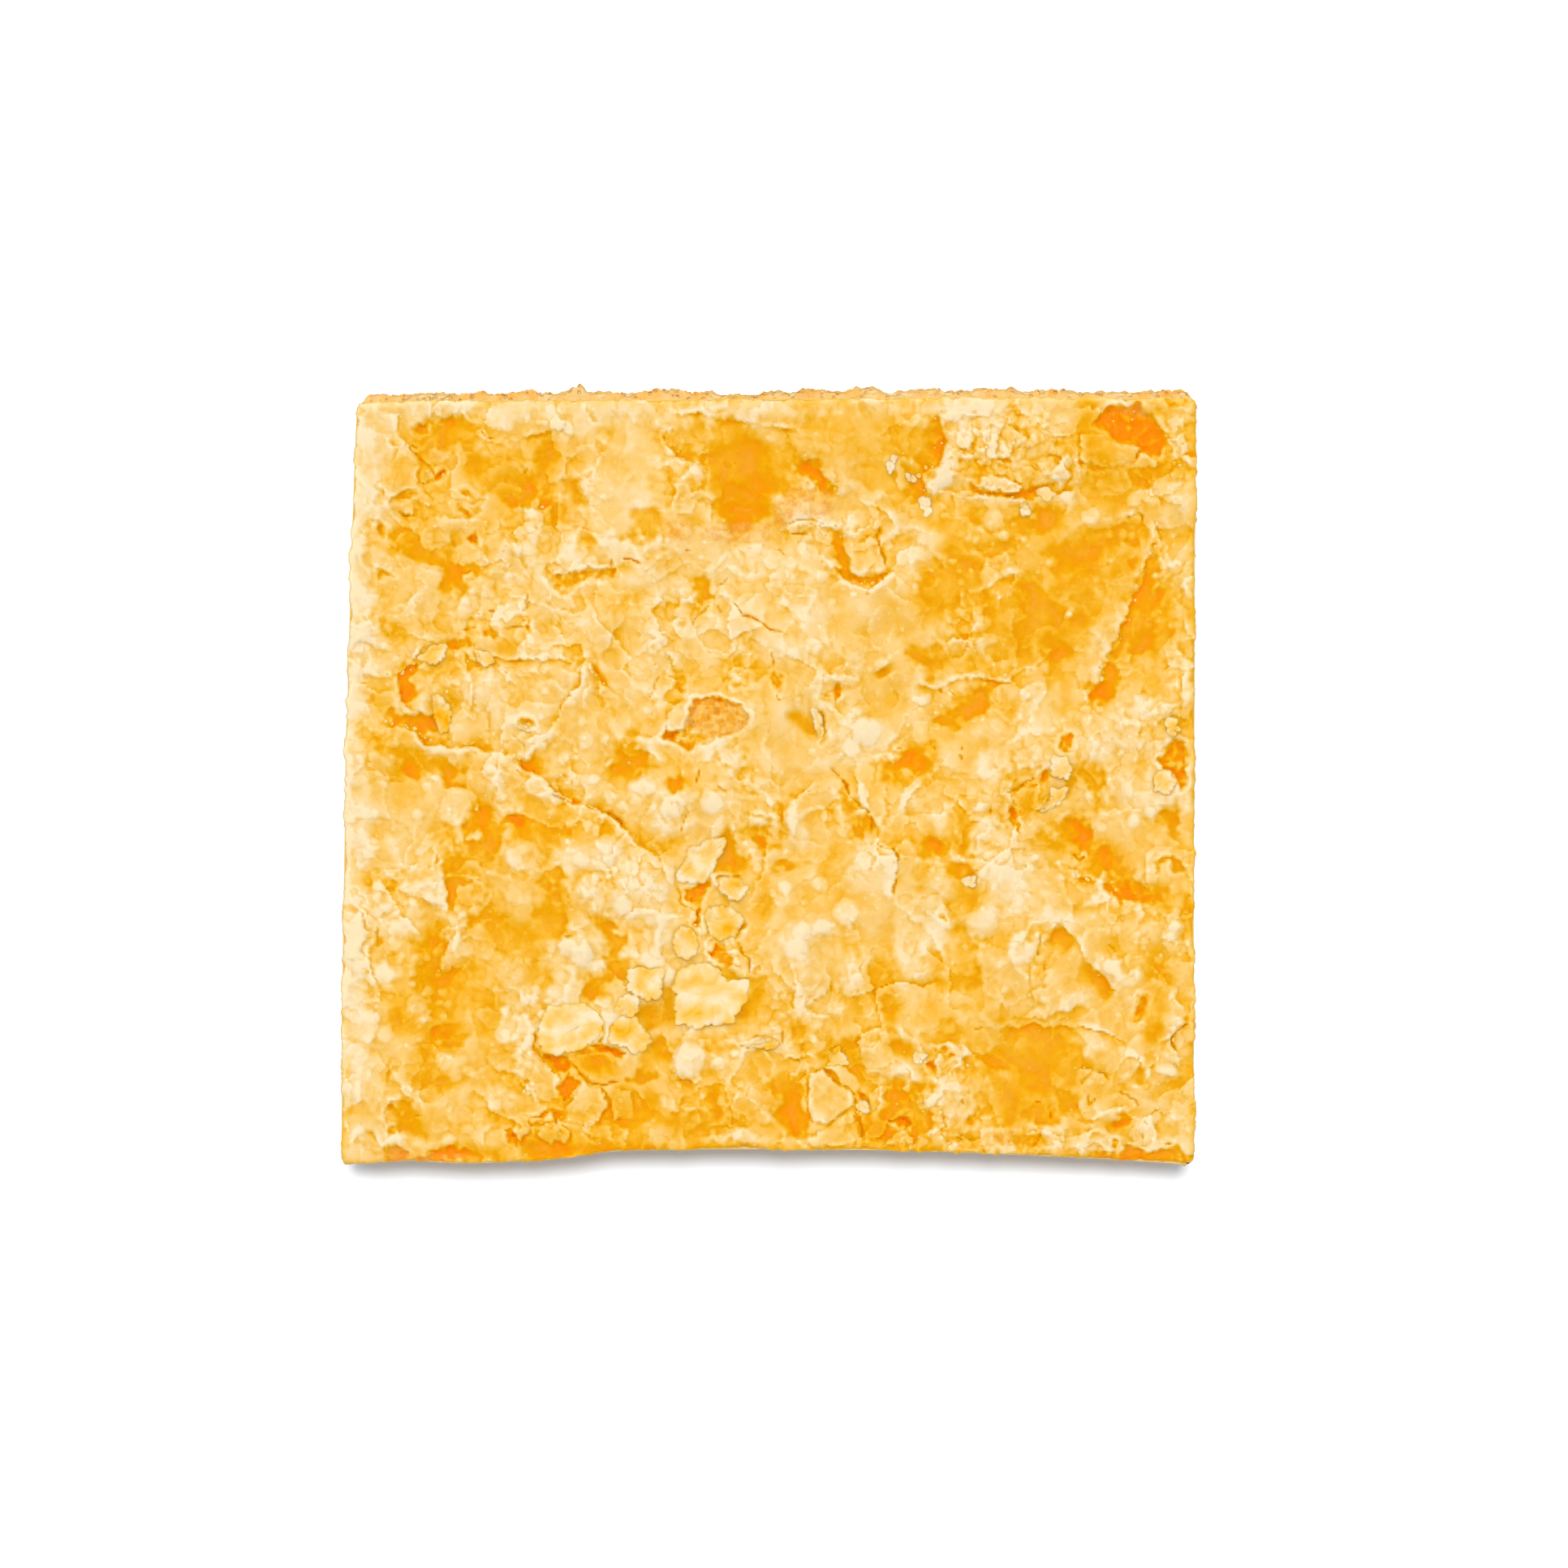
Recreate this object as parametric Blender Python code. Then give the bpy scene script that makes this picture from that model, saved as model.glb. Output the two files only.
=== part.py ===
"""A cut square of gooey butter cake, lying on its browned underside with the skin up.

It has two baked layers. The base is a plain butter cake with an open crumb. The gooey layer
on it is set butter filling, whose dry sugary skin has blistered, cracked and flaked. Edges,
pits, hollows and blisters of the skin are relief in that layer, and loose flakes are fused to
it. Plan places are in millimetres from the middle of the square: X right, Y to the back.
"""

import math

import bmesh
import bpy
import numpy as np

MM = 0.001

# The cut square's corners in plan, and how far each cut side bows out between them, in mm
BACK_LEFT = np.array((-39.9, 37.2))
BACK_RIGHT = np.array((41.3, 37.6))
FRONT_RIGHT = np.array((41.1, -37.7))
FRONT_LEFT = np.array((-41.4, -37.6))
BACK_BOW, RIGHT_BOW, FRONT_BOW, LEFT_BOW = 0.1, -0.1, -1.5, 0.35
CORNER_RADIUS = 1.3

# Heights of the layers, in mm
BASE_TOP = 9.0
LAYER_GAP = 0.3
SKIN_LEVEL = 23.2
GOOEY_SHOULDER = 1.4
BASE_SHOULDER = 0.2
SHOULDER_FALL = 0.9

# How far each layer stands back from the cut outline: back, right, front, left, in mm
BASE_SET_BACK = (0.0, 0.15, 0.15, 0.15)
GOOEY_SET_BACK = (0.75, 0.0, 0.1, 0.0)

# Broken edges of the skin: start, end, bow to the left, rise. The left side stands proud.
SKIN_EDGES = (
    ((-8.2, -10.8), (-15.0, -4.4), -0.9, 1.0),
    ((-15.0, -4.4), (-22.2, 0.0), 0.3, 0.9),
    ((-22.2, 0.0), (-28.0, 2.5), -0.7, 0.8),
    ((-28.0, 2.5), (-38.2, 5.6), 0.0, 1.0),
    ((-17.9, 11.2), (-24.0, 4.4), 1.2, 0.7),
    ((-8.3, 1.8), (-17.9, 11.2), 0.0, 0.7),
    ((-35.5, 8.5), (-33.8, 12.6), 0.0, 0.8),
    ((-31.5, 13.0), (-19.2, 11.2), -0.9, 0.7),
    ((-9.5, 35.0), (4.0, 33.8), 0.0, 0.5),
    ((11.4, 19.5), (6.1, 21.8), 1.9, 1.0),
    ((28.8, 28.2), (19.2, 27.4), 0.9, 0.8),
    ((38.3, 30.9), (31.0, 34.0), 0.0, 0.8),
    ((30.3, 6.3), (37.0, 23.5), -0.6, 1.1),
    ((15.8, 9.0), (25.0, 10.2), 0.0, 0.6),
    ((39.4, -1.0), (39.7, 4.4), 1.6, 0.9),
    ((12.0, -12.0), (12.7, -7.8), 0.2, 0.6),
    ((10.0, -5.6), (7.2, -0.4), -0.6, 0.6),
    ((-38.1, -21.8), (-38.2, -14.2), 0.0, 0.7),
    ((-30.8, -15.2), (-31.8, -18.8), 0.0, 0.7),
    ((-25.2, -27.2), (-22.3, -32.0), 0.0, 0.7),
    ((3.7, -28.7), (3.5, -35.3), 0.0, 0.8),
    ((20.0, -24.4), (34.0, -25.8), 0.4, 0.5),
    ((-21.3, 19.2), (-14.2, 20.4), 0.7, 0.7),
    ((-29.0, 25.5), (-27.6, 20.6), 0.0, 0.6),
    ((-7.6, 7.7), (-2.0, 6.0), 0.6, 0.6),
)

# Pits where the skin has fallen in: place, half length, half width, turn in degrees, depth
PITS = (
    ((35.0, 34.0), 3.6, 1.9, -8, 1.5),
    ((-9.6, 3.8), 1.6, 1.0, -30, 2.2),
    ((-5.2, 6.0), 3.2, 1.8, -8, 1.2),
    ((-7.1, -11.6), 1.3, 1.5, 0, 2.0),
    ((-4.6, -16.8), 1.6, 0.9, -35, 1.6),
    ((-20.3, -28.2), 1.9, 1.1, -40, 2.0),
    ((-15.4, -26.4), 1.6, 0.8, -30, 1.8),
    ((-25.2, -34.4), 0.9, 1.0, 20, 1.5),
    ((-21.8, -33.2), 1.9, 0.8, 15, 1.2),
    ((-29.3, 23.2), 1.0, 1.0, -40, 1.4),
    ((-19.6, 18.9), 1.9, 1.0, -20, 1.3),
    ((-31.0, 13.2), 1.4, 0.9, -20, 1.1),
    ((-16.3, 10.2), 1.7, 0.8, -50, 1.1),
    ((0.7, 9.3), 1.0, 1.0, 0, 1.0),
    ((6.7, 8.1), 0.9, 1.5, -10, 1.0),
    ((8.4, 19.3), 2.3, 0.9, -20, 1.4),
    ((39.2, 1.6), 1.0, 2.2, -10, 2.0),
    ((28.8, 3.3), 0.9, 1.1, 0, 1.1),
    ((26.6, 0.3), 1.0, 0.9, 0, 1.4),
    ((23.7, -4.0), 0.8, 1.6, 20, 1.4),
    ((15.8, -27.4), 1.3, 1.1, 0, 1.5),
    ((12.8, -33.0), 1.0, 1.1, 0, 1.6),
    ((29.0, -17.0), 0.8, 1.3, 30, 1.3),
    ((36.1, -22.8), 0.9, 1.3, 0, 1.1),
)

# Smooth syrupy hollows under whole skin: place, half length, half width, turn, depth
HOLLOWS = (
    ((-2.3, 28.5), 3.8, 4.8, 0, 1.0),
    ((-23.8, 29.5), 3.6, 2.8, -30, 0.8),
    ((-31.5, 21.0), 4.5, 1.8, -30, 0.7),
    ((16.5, 17.5), 2.6, 3.4, -20, 0.5),
    ((27.5, 17.0), 5.0, 4.5, -50, 0.8),
    ((36.3, 16.0), 1.8, 5.0, -15, 0.9),
    ((18.8, 7.0), 1.6, 3.8, -50, 0.7),
    ((-35.2, 5.0), 3.0, 3.6, 10, 0.7),
    ((-13.8, 1.7), 2.5, 2.2, 0, 0.7),
    ((-28.0, -5.5), 2.0, 3.2, -25, 0.9),
    ((17.0, -7.2), 3.8, 2.6, -30, 0.7),
    ((31.5, -7.2), 4.5, 1.7, -35, 0.8),
    ((-26.5, -14.5), 4.2, 2.4, -35, 0.7),
    ((-15.2, -17.0), 1.6, 3.6, 15, 0.7),
    ((-33.8, -24.5), 2.2, 5.0, 30, 0.9),
    ((11.3, -21.5), 1.2, 4.5, 15, 0.6),
    ((-11.9, -24.0), 1.5, 3.8, -15, 0.8),
    ((2.6, -31.0), 1.5, 3.8, 0, 0.9),
    ((25.0, -28.0), 5.4, 3.8, 0, 0.8),
)

# Blisters of trapped steam: place, half length, half width, turn, height
BLISTERS = (
    ((-24.0, -7.5), 2.7, 2.2, 0, 0.7),
    ((-30.4, -3.0), 2.3, 2.0, 0, 0.6),
    ((-34.5, -7.0), 2.5, 1.7, 0, 0.6),
    ((-19.3, -17.0), 2.6, 2.3, 0, 0.9),
    ((-16.6, -8.4), 3.2, 3.4, 0, 0.7),
    ((-12.3, -15.6), 2.4, 3.4, 20, 0.8),
    ((-10.6, -3.8), 2.5, 2.4, 0, 0.6),
    ((-8.0, -28.0), 2.3, 2.0, 0, 0.6),
    ((9.0, 3.6), 3.4, 2.2, 10, 0.6),
    ((3.0, -5.0), 2.2, 2.0, 0, 0.5),
    ((14.6, -14.0), 2.4, 3.4, -15, 0.5),
    ((22.6, -9.2), 3.0, 2.6, 0, 0.6),
    ((26.4, 6.2), 2.2, 3.0, 0, 0.6),
    ((34.0, 5.0), 3.2, 2.6, 0, 0.6),
    ((-1.0, 19.5), 4.0, 3.0, 0, 0.6),
    ((-14.5, 28.0), 3.2, 3.0, 0, 0.5),
    ((-27.0, 17.0), 2.6, 2.0, -30, 0.5),
)

# Loose flakes fused to the skin: place, half length, half width, turn, lift of the rim
FLAKES = (
    ((-5.5, -21.0), 3.6, 3.2, 10, 0.9),
    ((-6.8, -8.0), 2.8, 1.3, 48, 0.9),
    ((-4.4, -13.6), 2.0, 1.7, -30, 0.7),
    ((-8.4, -15.9), 1.6, 1.3, 20, 0.7),
    ((-19.4, -24.3), 3.5, 2.0, -4, 0.6),
    ((-14.0, -24.8), 2.2, 1.5, -30, 0.7),
    ((-17.0, -28.2), 2.2, 1.5, 10, 0.5),
    ((-23.2, -29.0), 2.4, 1.6, -40, 0.6),
    ((-18.0, -32.0), 2.0, 1.7, 60, 0.5),
    ((5.7, -31.0), 2.9, 2.1, 60, 0.5),
    ((6.8, -34.4), 2.4, 1.3, 15, 0.4),
    ((10.8, -26.8), 2.2, 1.8, -30, 0.4),
    ((16.6, -27.8), 1.1, 0.7, 80, 0.4),
    ((9.2, 21.8), 1.9, 1.6, 20, 0.4),
    ((22.2, 28.4), 2.4, 0.9, -6, 0.6),
    ((28.2, 29.0), 1.6, 1.2, -35, 0.5),
    ((33.4, 31.4), 2.8, 1.4, -12, 0.4),
    ((38.6, -0.6), 1.3, 1.0, 50, 0.6),
    ((25.8, -1.6), 1.6, 1.2, 15, 0.4),
    ((-35.8, 29.4), 2.4, 1.6, 60, 0.4),
    ((-31.6, 12.0), 1.8, 1.1, -60, 0.6),
    ((4.8, 4.9), 1.3, 0.5, -65, 0.5),
    ((31.3, -31.0), 1.7, 1.6, 0, 0.3),
)

# How relief is spread and made ragged, in mm
EDGE_REACH, EDGE_UNDERCUT, UNDERCUT_DEPTH = 2.6, 1.1, 0.55
RAGGED_SIZE, RAGGED_DEPTH = 1.5, 0.4
SWELL_SIZE, SWELL_HEIGHT = 14.0, 0.7
LUMP_SIZE, LUMP_HEIGHT = 4.2, 0.32
CRUMB_SIZE, CRUMB_DEPTH = 2.4, 0.3
CRUMB_WALL_RELIEF, GOOEY_WALL_RELIEF = 0.35, 0.2

# Fineness of the meshes
SKIN_STEP = 0.62
SKIN_TRIANGLE_SHARE = 0.185
GOOEY_WALL_ROWS = 8
BASE_STEP = 3.6
BASE_WALL_ROWS = 4
FLAKE_CORNERS = 9
FLAKE_THICKNESS = 0.5
FLAKE_FOOT = 0.9

# Finishes: colour, roughness
GOOEY_FINISH = ((0.93, 0.62, 0.17, 1.0), 0.45)
CRUMB_FINISH = ((0.83, 0.50, 0.20, 1.0), 0.85)


def gradient_noise(seed, x, y, cells=64):
    """Smooth noise from about -1 to 1, one swell to each unit of x and y."""
    angle = np.random.default_rng(seed).uniform(0, 2 * math.pi, (cells, cells))
    column, row = np.floor(x).astype(int), np.floor(y).astype(int)
    across, along = x - column, y - row

    def corner(i, j):
        turn = angle[(column + i) % cells, (row + j) % cells]
        return np.cos(turn) * (across - i) + np.sin(turn) * (along - j)

    ease_x, ease_y = (t * t * t * (t * (6 * t - 15) + 10) for t in (across, along))
    near = corner(0, 0) * (1 - ease_x) + corner(1, 0) * ease_x
    far = corner(0, 1) * (1 - ease_x) + corner(1, 1) * ease_x
    return 1.5 * (near * (1 - ease_y) + far * ease_y)


def ease(t):
    """0 to 1 with a flat start and end."""
    t = np.clip(t, 0, 1)
    return t * t * (3 - 2 * t)


def patch_reach(x, y, place, half_length, half_width, turn):
    """Distance from the middle of a turned oval, 1 at its rim."""
    c, s = math.cos(math.radians(turn)), math.sin(math.radians(turn))
    right, up = x - place[0], y - place[1]
    return np.hypot((right * c + up * s) / half_length, (up * c - right * s) / half_width)


def edge_relief(x, y, start, end, bow, rise):
    """A lifted lip along the left of a broken edge, and the hollow under it on the right."""
    run = np.subtract(end, start)
    length = math.hypot(*run)
    along = ((x - start[0]) * run[0] + (y - start[1]) * run[1]) / length**2
    side = ((y - start[1]) * run[0] - (x - start[0]) * run[1]) / length
    side = side - bow * 4 * along * (1 - along)
    fade = ease(along / 0.15) * ease((1 - along) / 0.15)
    lip = rise * np.exp(-np.maximum(side, 0) / EDGE_REACH)
    hollow = -rise * UNDERCUT_DEPTH * np.exp(np.minimum(side, 0) / EDGE_UNDERCUT)
    return fade * np.where(side > 0, lip, hollow)


def skin_height(x, y):
    """Height of the baked skin over plan points, in mm."""
    height = SKIN_LEVEL + SWELL_HEIGHT * gradient_noise(1, x / SWELL_SIZE, y / SWELL_SIZE)
    height += LUMP_HEIGHT * gradient_noise(2, x / LUMP_SIZE, y / LUMP_SIZE)
    ragged_x = x + RAGGED_DEPTH * gradient_noise(3, x / RAGGED_SIZE, y / RAGGED_SIZE)
    ragged_y = y + RAGGED_DEPTH * gradient_noise(4, x / RAGGED_SIZE, y / RAGGED_SIZE)
    for start, end, bow, rise in SKIN_EDGES:
        height += edge_relief(ragged_x, ragged_y, start, end, bow, rise)
    for place, length, width, turn, depth in PITS:
        reach = patch_reach(ragged_x, ragged_y, place, length, width, turn)
        height -= depth * ease((1.25 - reach) / 0.5)
    for place, length, width, turn, depth in HOLLOWS:
        height -= depth * ease(1.4 - patch_reach(x, y, place, length, width, turn))
    for place, length, width, turn, rise in BLISTERS:
        height += rise * ease(1.3 - patch_reach(x, y, place, length, width, turn))
    return height


def plan_point(across, along, set_back):
    """Plan place of a share across (0 left, 1 right) and along (0 front, 1 back) the square."""
    back, right, front, left = set_back
    bow_across, bow_along = 4 * across * (1 - across), 4 * along * (1 - along)
    front_edge = np.outer(1 - across, FRONT_LEFT) + np.outer(across, FRONT_RIGHT)
    back_edge = np.outer(1 - across, BACK_LEFT) + np.outer(across, BACK_RIGHT)
    place = front_edge * (1 - along)[:, None] + back_edge * along[:, None]
    place[:, 0] += (RIGHT_BOW * bow_along - right) * across
    place[:, 0] -= (LEFT_BOW * bow_along - left) * (1 - across)
    place[:, 1] += (BACK_BOW * bow_across - back) * along
    place[:, 1] -= (FRONT_BOW * bow_across - front) * (1 - along)
    return place


def rounded_shares(share_x, share_y, width, depth):
    """Pulls the shares of points near a corner in, so that the plan's corners are round."""
    radius = np.array((CORNER_RADIUS / width, CORNER_RADIUS / depth))
    shares = np.stack((share_x, share_y), 1)
    outward = np.where(shares > 0.5, 1, -1)
    past = np.clip((np.abs(shares - 0.5) - (0.5 - radius)) / radius, 0, 1)
    pulled = past * np.sqrt(1 - past[:, ::-1] ** 2 / 2)
    return shares + outward * (pulled - past) * radius


def wall_distance(shares, width, depth):
    """Distance of plan shares from the nearest cut side, in mm."""
    inset = 0.5 - np.abs(shares - 0.5)
    return np.minimum(inset[:, 0] * width, inset[:, 1] * depth)


def cut_block(name, set_back, floor, top, shoulder, step, wall_rows, wall_relief):
    """One layer of the cut square: a gridded top, rough cut walls and a flat underside."""
    width = BACK_RIGHT[0] - BACK_LEFT[0]
    depth = BACK_LEFT[1] - FRONT_LEFT[1]
    bm = bmesh.new()
    bmesh.ops.create_grid(
        bm, x_segments=round(width / step), y_segments=round(depth / step), size=0.5
    )
    shares = np.array([v.co[:2] for v in bm.verts]) + 0.5
    shares = rounded_shares(shares[:, 0], shares[:, 1], width, depth)
    plan = plan_point(shares[:, 0], shares[:, 1], set_back)
    height = top(plan[:, 0], plan[:, 1])
    near_wall = np.clip(1 - wall_distance(shares, width, depth) / shoulder, 0, 1)
    height -= shoulder * (1 - np.sqrt(1 - near_wall**2 * SHOULDER_FALL))
    for vert, place, level in zip(bm.verts, plan, height):
        vert.co = (place[0] * MM, place[1] * MM, level * MM)

    rim = [e for e in bm.edges if e.is_boundary]
    for row in range(wall_rows, 0, -1):
        ring = bmesh.ops.extrude_edge_only(bm, edges=rim)["geom"]
        rim = [e for e in ring if isinstance(e, bmesh.types.BMEdge) and e.is_boundary]
        for vert in (v for v in ring if isinstance(v, bmesh.types.BMVert)):
            vert.co.z += (floor * MM - vert.co.z) / row
    bmesh.ops.edgeloop_fill(bm, edges=rim)
    roughen_walls(bm, floor, wall_relief)
    bmesh.ops.recalc_face_normals(bm, faces=bm.faces)
    return linked_object(name, bm)


def roughen_walls(bm, floor, relief):
    """Moves the wall points in and out of the cut faces, and leaves top and floor edges."""
    for vert in bm.verts:
        if vert.co.z < (floor + 0.01) * MM or not vert.link_faces:
            continue
        sideways = sum((f.normal for f in vert.link_faces), vert.co * 0)
        if abs(sideways.z) > 0.5 * sideways.length:
            continue
        around = np.array([(vert.co.x + vert.co.y) / MM / CRUMB_SIZE])
        height = np.array([vert.co.z / MM / CRUMB_SIZE])
        push = relief * float(gradient_noise(7, around, height)[0])
        vert.co += sideways.normalized() * push * MM


def linked_object(name, bm):
    """Puts the finished mesh into the scene as an object."""
    mesh = bpy.data.meshes.new(name)
    bm.to_mesh(mesh)
    bm.free()
    piece = bpy.data.objects.new(name, mesh)
    bpy.context.scene.collection.objects.link(piece)
    return piece


def flake(number, place, half_length, half_width, turn, lift):
    """A thin, curled, jagged plate of skin with a foot that reaches into the gooey layer."""
    rng = np.random.default_rng(100 + number)
    angles = np.linspace(0, 2 * math.pi, FLAKE_CORNERS, endpoint=False)
    angles = angles + rng.uniform(-0.2, 0.2, FLAKE_CORNERS)
    jag = rng.uniform(0.78, 1.12, FLAKE_CORNERS)
    low_side = rng.uniform(0, 2 * math.pi)
    c, s = math.cos(math.radians(turn)), math.sin(math.radians(turn))
    middle = skin_height(np.array([place[0]]), np.array([place[1]]))[0]

    bm = bmesh.new()

    def point(reach, corner, top):
        right = reach * jag[corner] * math.cos(angles[corner]) * half_length
        up = reach * jag[corner] * math.sin(angles[corner]) * half_width
        x, y = place[0] + right * c - up * s, place[1] + right * s + up * c
        curl = lift * reach**2 * (1 + 0.5 * math.cos(angles[corner] - low_side))
        z = middle + 0.25 + curl
        if not top:
            z -= FLAKE_THICKNESS + FLAKE_FOOT * (1 - reach)
        return bm.verts.new((x * MM, y * MM, z * MM))

    rings = {}
    for top in (True, False):
        hub = point(0, 0, top)
        inner, outer = (
            [point(reach, k, top) for k in range(FLAKE_CORNERS)] for reach in (0.55, 1.0)
        )
        for k in range(FLAKE_CORNERS):
            after = (k + 1) % FLAKE_CORNERS
            bm.faces.new((hub, inner[k], inner[after]))
            bm.faces.new((inner[k], outer[k], outer[after], inner[after]))
        rings[top] = outer
    for k in range(FLAKE_CORNERS):
        after = (k + 1) % FLAKE_CORNERS
        bm.faces.new((rings[True][k], rings[True][after], rings[False][after], rings[False][k]))
    bmesh.ops.triangulate(bm, faces=bm.faces)
    bmesh.ops.recalc_face_normals(bm, faces=bm.faces)
    return linked_object(f"flake_{number}", bm)


def fuse_flakes(layer):
    """Thins the layer's mesh where it is smooth, then joins every flake to it for good."""
    thin = layer.modifiers.new("thin_mesh", "DECIMATE")
    thin.ratio = SKIN_TRIANGLE_SHARE
    flakes = bpy.data.collections.new("flakes")
    bpy.context.scene.collection.children.link(flakes)
    for number, spec in enumerate(FLAKES):
        piece = flake(number, *spec)
        bpy.context.scene.collection.objects.unlink(piece)
        flakes.objects.link(piece)
    fuse = layer.modifiers.new("fuse_flakes", "BOOLEAN")
    fuse.operation = "UNION"
    fuse.operand_type = "COLLECTION"
    fuse.collection = flakes
    fuse.solver = "EXACT"
    bpy.context.view_layer.objects.active = layer
    for name in ("thin_mesh", "fuse_flakes"):
        bpy.ops.object.modifier_apply(modifier=name)
    for piece in list(flakes.objects):
        bpy.data.objects.remove(piece)
    bpy.data.collections.remove(flakes)


def finish(piece, name, look):
    """Gives a piece its own material."""
    colour, roughness = look
    material = bpy.data.materials.new(name)
    material.use_nodes = True
    shader = material.node_tree.nodes["Principled BSDF"]
    shader.inputs["Base Color"].default_value = colour
    shader.inputs["Roughness"].default_value = roughness
    shader.inputs["Metallic"].default_value = 0.0
    piece.data.materials.append(material)


def base_top(x, y):
    """The base's upper face: flat under the gooey layer, and a little pitted."""
    pitted = gradient_noise(5, x / CRUMB_SIZE, y / CRUMB_SIZE)
    return BASE_TOP - CRUMB_DEPTH * np.maximum(pitted, 0)


def make_cake():
    for old in list(bpy.data.objects):
        bpy.data.objects.remove(old)
    base = cut_block(
        "cake_base",
        BASE_SET_BACK,
        0.0,
        base_top,
        BASE_SHOULDER,
        BASE_STEP,
        BASE_WALL_ROWS,
        CRUMB_WALL_RELIEF,
    )
    finish(base, "base_crumb", CRUMB_FINISH)
    gooey = cut_block(
        "gooey_layer",
        GOOEY_SET_BACK,
        BASE_TOP + LAYER_GAP,
        skin_height,
        GOOEY_SHOULDER,
        SKIN_STEP,
        GOOEY_WALL_ROWS,
        GOOEY_WALL_RELIEF,
    )
    fuse_flakes(gooey)
    finish(gooey, "gooey_skin", GOOEY_FINISH)


make_cake()
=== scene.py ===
"""A cut square of gooey butter cake, seen from straight above on a white floor.

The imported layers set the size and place. The gooey layer is rebuilt with its blistered,
cracked, flaking skin, the base with its open crumb, and loose flakes and crumbs lie on top.
Plan places are in millimetres from the middle of the square: X right, Y to the back.
"""

import math

import bpy
import numpy as np
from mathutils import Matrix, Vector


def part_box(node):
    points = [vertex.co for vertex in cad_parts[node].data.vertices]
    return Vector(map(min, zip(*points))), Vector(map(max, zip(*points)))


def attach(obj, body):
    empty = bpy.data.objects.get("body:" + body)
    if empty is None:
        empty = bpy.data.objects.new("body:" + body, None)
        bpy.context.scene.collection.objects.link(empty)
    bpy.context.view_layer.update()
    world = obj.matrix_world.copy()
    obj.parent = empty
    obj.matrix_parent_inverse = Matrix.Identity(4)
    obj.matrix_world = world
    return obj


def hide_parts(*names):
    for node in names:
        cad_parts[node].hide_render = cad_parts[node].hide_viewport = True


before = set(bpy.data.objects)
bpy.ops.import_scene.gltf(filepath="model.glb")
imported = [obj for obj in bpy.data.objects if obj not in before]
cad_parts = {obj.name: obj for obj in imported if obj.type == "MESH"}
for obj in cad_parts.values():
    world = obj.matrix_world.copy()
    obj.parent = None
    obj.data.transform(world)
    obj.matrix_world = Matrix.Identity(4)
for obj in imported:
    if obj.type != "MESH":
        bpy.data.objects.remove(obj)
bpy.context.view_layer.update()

MM = 0.001

# The cut square's corners in plan and how far each cut side bows out between them, in mm
BACK_LEFT = np.array((-39.9, 37.2))
BACK_RIGHT = np.array((41.3, 37.6))
FRONT_RIGHT = np.array((41.1, -37.7))
FRONT_LEFT = np.array((-41.4, -37.6))
BACK_BOW, RIGHT_BOW, FRONT_BOW, LEFT_BOW = 0.1, -0.1, -1.5, 0.35
CORNER_RADIUS = 0.8
WIDTH = BACK_RIGHT[0] - BACK_LEFT[0]
DEPTH = BACK_LEFT[1] - FRONT_LEFT[1]
PERIMETER = 2 * (WIDTH + DEPTH)
FRONT_SWELL, SWELL_MIDDLE, SWELL_REACH = 0.7, -25.5, 9.0

# How far each layer stands back from the cut outline: back, right, front, left, in mm
BASE_SET_BACK = (-0.1, 0.15, 0.15, 0.15)
GOOEY_SET_BACK = (1.0, 0.0, 0.1, 0.0)

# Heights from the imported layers, in mm
BASE_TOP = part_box("cake_base")[1].z / MM
SKIN_LEVEL = 23.2
SHOULDER = 0.3

# Fineness of the meshes, in mm, and the triangles that they keep
SKIN_STEP = 0.2
GOOEY_WALL_ROWS = 32
BASE_WALL_ROWS = 30
GOOEY_TRIANGLES = 190000

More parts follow.
